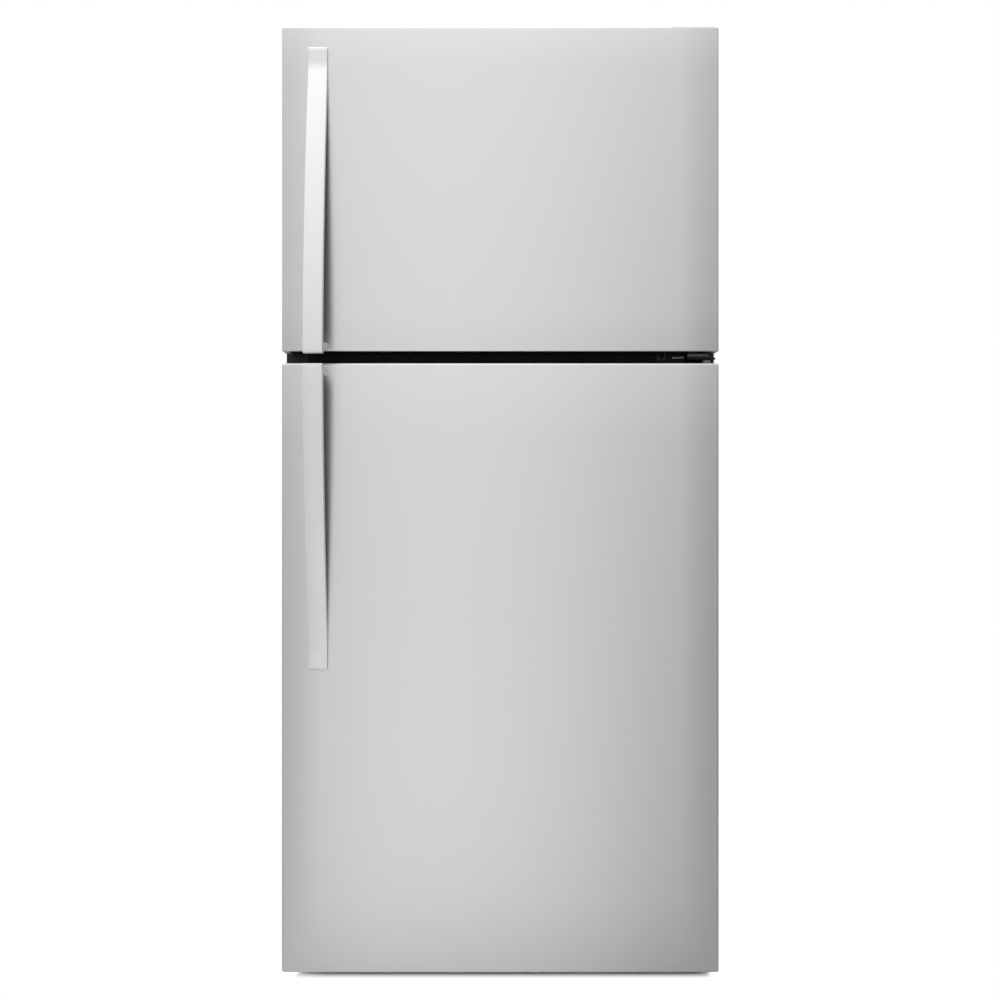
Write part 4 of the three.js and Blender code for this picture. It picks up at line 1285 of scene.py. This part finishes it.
# How bright the studio in front of the doors is, as (sideways slope, brightness) and (rise, brightness).
SOFTBOX = [
    (-1.0, 0.62), (-0.5, 0.5), (-0.2, 0.5), (-0.1, 1.06), (0.05, 0.92), (0.17, 0.44), (0.4, 0.35), (1.0, 0.3),
]
WORLD_RISE = [(-0.2, 0.85), (0.0, 0.98), (0.15, 1.14), (0.42, 1.0), (0.6, 1.3), (0.8, 2.0), (1.0, 2.0)]
WORLD_CONTRAST = (0.0, 0.36, 1.15, 0.4)  # the side-to-side change fades with height
MIRRORED_CAMERA = 2.05  # how far behind the object's middle the doors' reflection of the camera is
FLOOR_PAINTED_REACH = (2.4, 9.0, 0.56, 0.76)  # distance from the mirrored camera, and the floor's painted brightness there: light painted into its colour for the doors to reflect
# the side-to-side change of the light painted into the floor's colour
FLOOR_PAINTED_CONTRAST = 1.15
FLOOR_SIZE = 12
FLOOR_GAIN = 4.0  # the floor that the camera sees turns white as soon as it is out of deep shadow
# Beside, ahead of and behind the object: where the floor's shade starts to fade, and over what distance.
FOOTPRINT = ((0.376, 0.012), (0.3025, 0.0235), (0.425, 0.1))


def ramp(tree, value, stops):
    """A smooth curve that follows its (position, brightness) stops."""
    first, last = stops[0][0], stops[-1][0]
    top = max(level for _, level in stops)
    made = tree.node("ValToRGB")
    made.color_ramp.interpolation = "B_SPLINE"
    elements = made.color_ramp.elements
    while len(elements) < len(stops):
        elements.new(0.5)
    for element, (position, level) in zip(elements, stops):
        element.position = (position - first) / (last - first)
        element.color = (level / top, level / top, level / top, 1)
    tree.link(tree.map_range(value, (first, last, 0, 1)), made.inputs[0])
    return tree.maths("MULTIPLY", made.outputs["Color"], top)


def softbox(tree, x, y, contrast):
    """The brightness from side to side, as a function of the slope x / y."""
    return tree.maths("POWER", ramp(tree, tree.maths("DIVIDE", x, y), SOFTBOX), contrast)


def build_world():
    """A soft studio, white to the camera."""
    world = bpy.data.worlds.new("studio")
    bpy.context.scene.world = world
    tree = empty_tree(world)
    x, y, z = tree.axes("Generated")
    contrast = tree.map_range(z, WORLD_CONTRAST)
    across = softbox(tree, x, tree.maths("ABSOLUTE", y), contrast)
    soft, white = tree.node("Background", Color=(1, 1, 1, 1)), tree.node("Background", Color=(1, 1, 1, 1))
    tree.link(tree.maths("MULTIPLY", across, ramp(tree, z, WORLD_RISE)), soft.inputs["Strength"])
    camera_rays(tree, white, soft, "OutputWorld")


def add_light(name, location, target, size, power):
    """A square light that leaves no reflection of itself."""
    light = bpy.data.lights.new(name, "AREA")
    light.shape = "RECTANGLE"
    light.size = light.size_y = size
    light.energy = power
    made = bpy.data.objects.new(name, light)
    made.location = location
    made.rotation_euler = (Vector(target) - Vector(location)).to_track_quat("-Z", "Y").to_euler()
    made.visible_glossy = False
    bpy.context.scene.collection.objects.link(made)


def build_floor():
    """A pale floor: white to the camera but for the shade round the object; to other rays its colour is
    painted light, the softbox's brightness fading with distance, so it is dimmer in the doors.
    """
    bm = bmesh.new()
    bmesh.ops.create_grid(bm, x_segments=1, y_segments=1, size=FLOOR_SIZE)
    mesh = bpy.data.meshes.new("floor")
    bm.to_mesh(mesh)
    bm.free()
    floor = bpy.data.objects.new("floor", mesh)
    bpy.context.scene.collection.objects.link(floor)
    material = bpy.data.materials.new("pale_floor")
    tree = empty_tree(material)
    x, y, _ = tree.axes("Object")
    away = 0
    sides = (tree.maths("ABSOLUTE", x), tree.maths("MULTIPLY", y, -1), y)
    for position, (edge, fade) in zip(sides, FOOTPRINT):
        away = tree.maths("MAXIMUM", tree.map_range(position, (edge, edge + fade, 0, 1)), away)
    seen = tree.node("MixShader")
    tree.link(away, seen.inputs[0])
    tree.link(tree.node("BsdfDiffuse", Color=(*[FLOOR_GAIN] * 3, 1)).outputs[0], seen.inputs[1])
    tree.link(tree.node("Emission").outputs[0], seen.inputs[2])
    # painted light: for every ray but the camera's, the floor's colour follows the softbox's brightness and
    # fades with distance from the mirrored camera
    depth = tree.maths("SUBTRACT", MIRRORED_CAMERA, y)
    across = softbox(tree, x, depth, FLOOR_PAINTED_CONTRAST)
    unseen = tree.node("BsdfDiffuse")
    tree.link(tree.maths("MULTIPLY", across, tree.map_range(depth, FLOOR_PAINTED_REACH)), unseen.inputs["Color"])
    camera_rays(tree, seen, unseen, "OutputMaterial")
    mesh.materials.append(material)


def build_studio():
    bpy.context.scene.view_settings.view_transform = "Standard"
    build_camera()
    build_world()
    build_floor()
    add_light("key", (-2.4, -3.0, 3.2), (0, -0.3, 0.9), 2.4, 45)
    add_light("top", (0.2, -0.6, 3.8), (0, -0.4, 0), 3.2, 70)


def finish_rest():
    """Every node that nothing replaces gets its finish."""
    for name, made in nodes.items():
        made.data.materials.clear()
        made.data.materials.append(FINISH[SLOT_OF[name]])


finish_rest()
build_doors()
cabinet_shell()
build_liners()
build_back()
build_base()
build_hinges()
build_compartments()
build_machinery()
build_insulation()
build_studio()
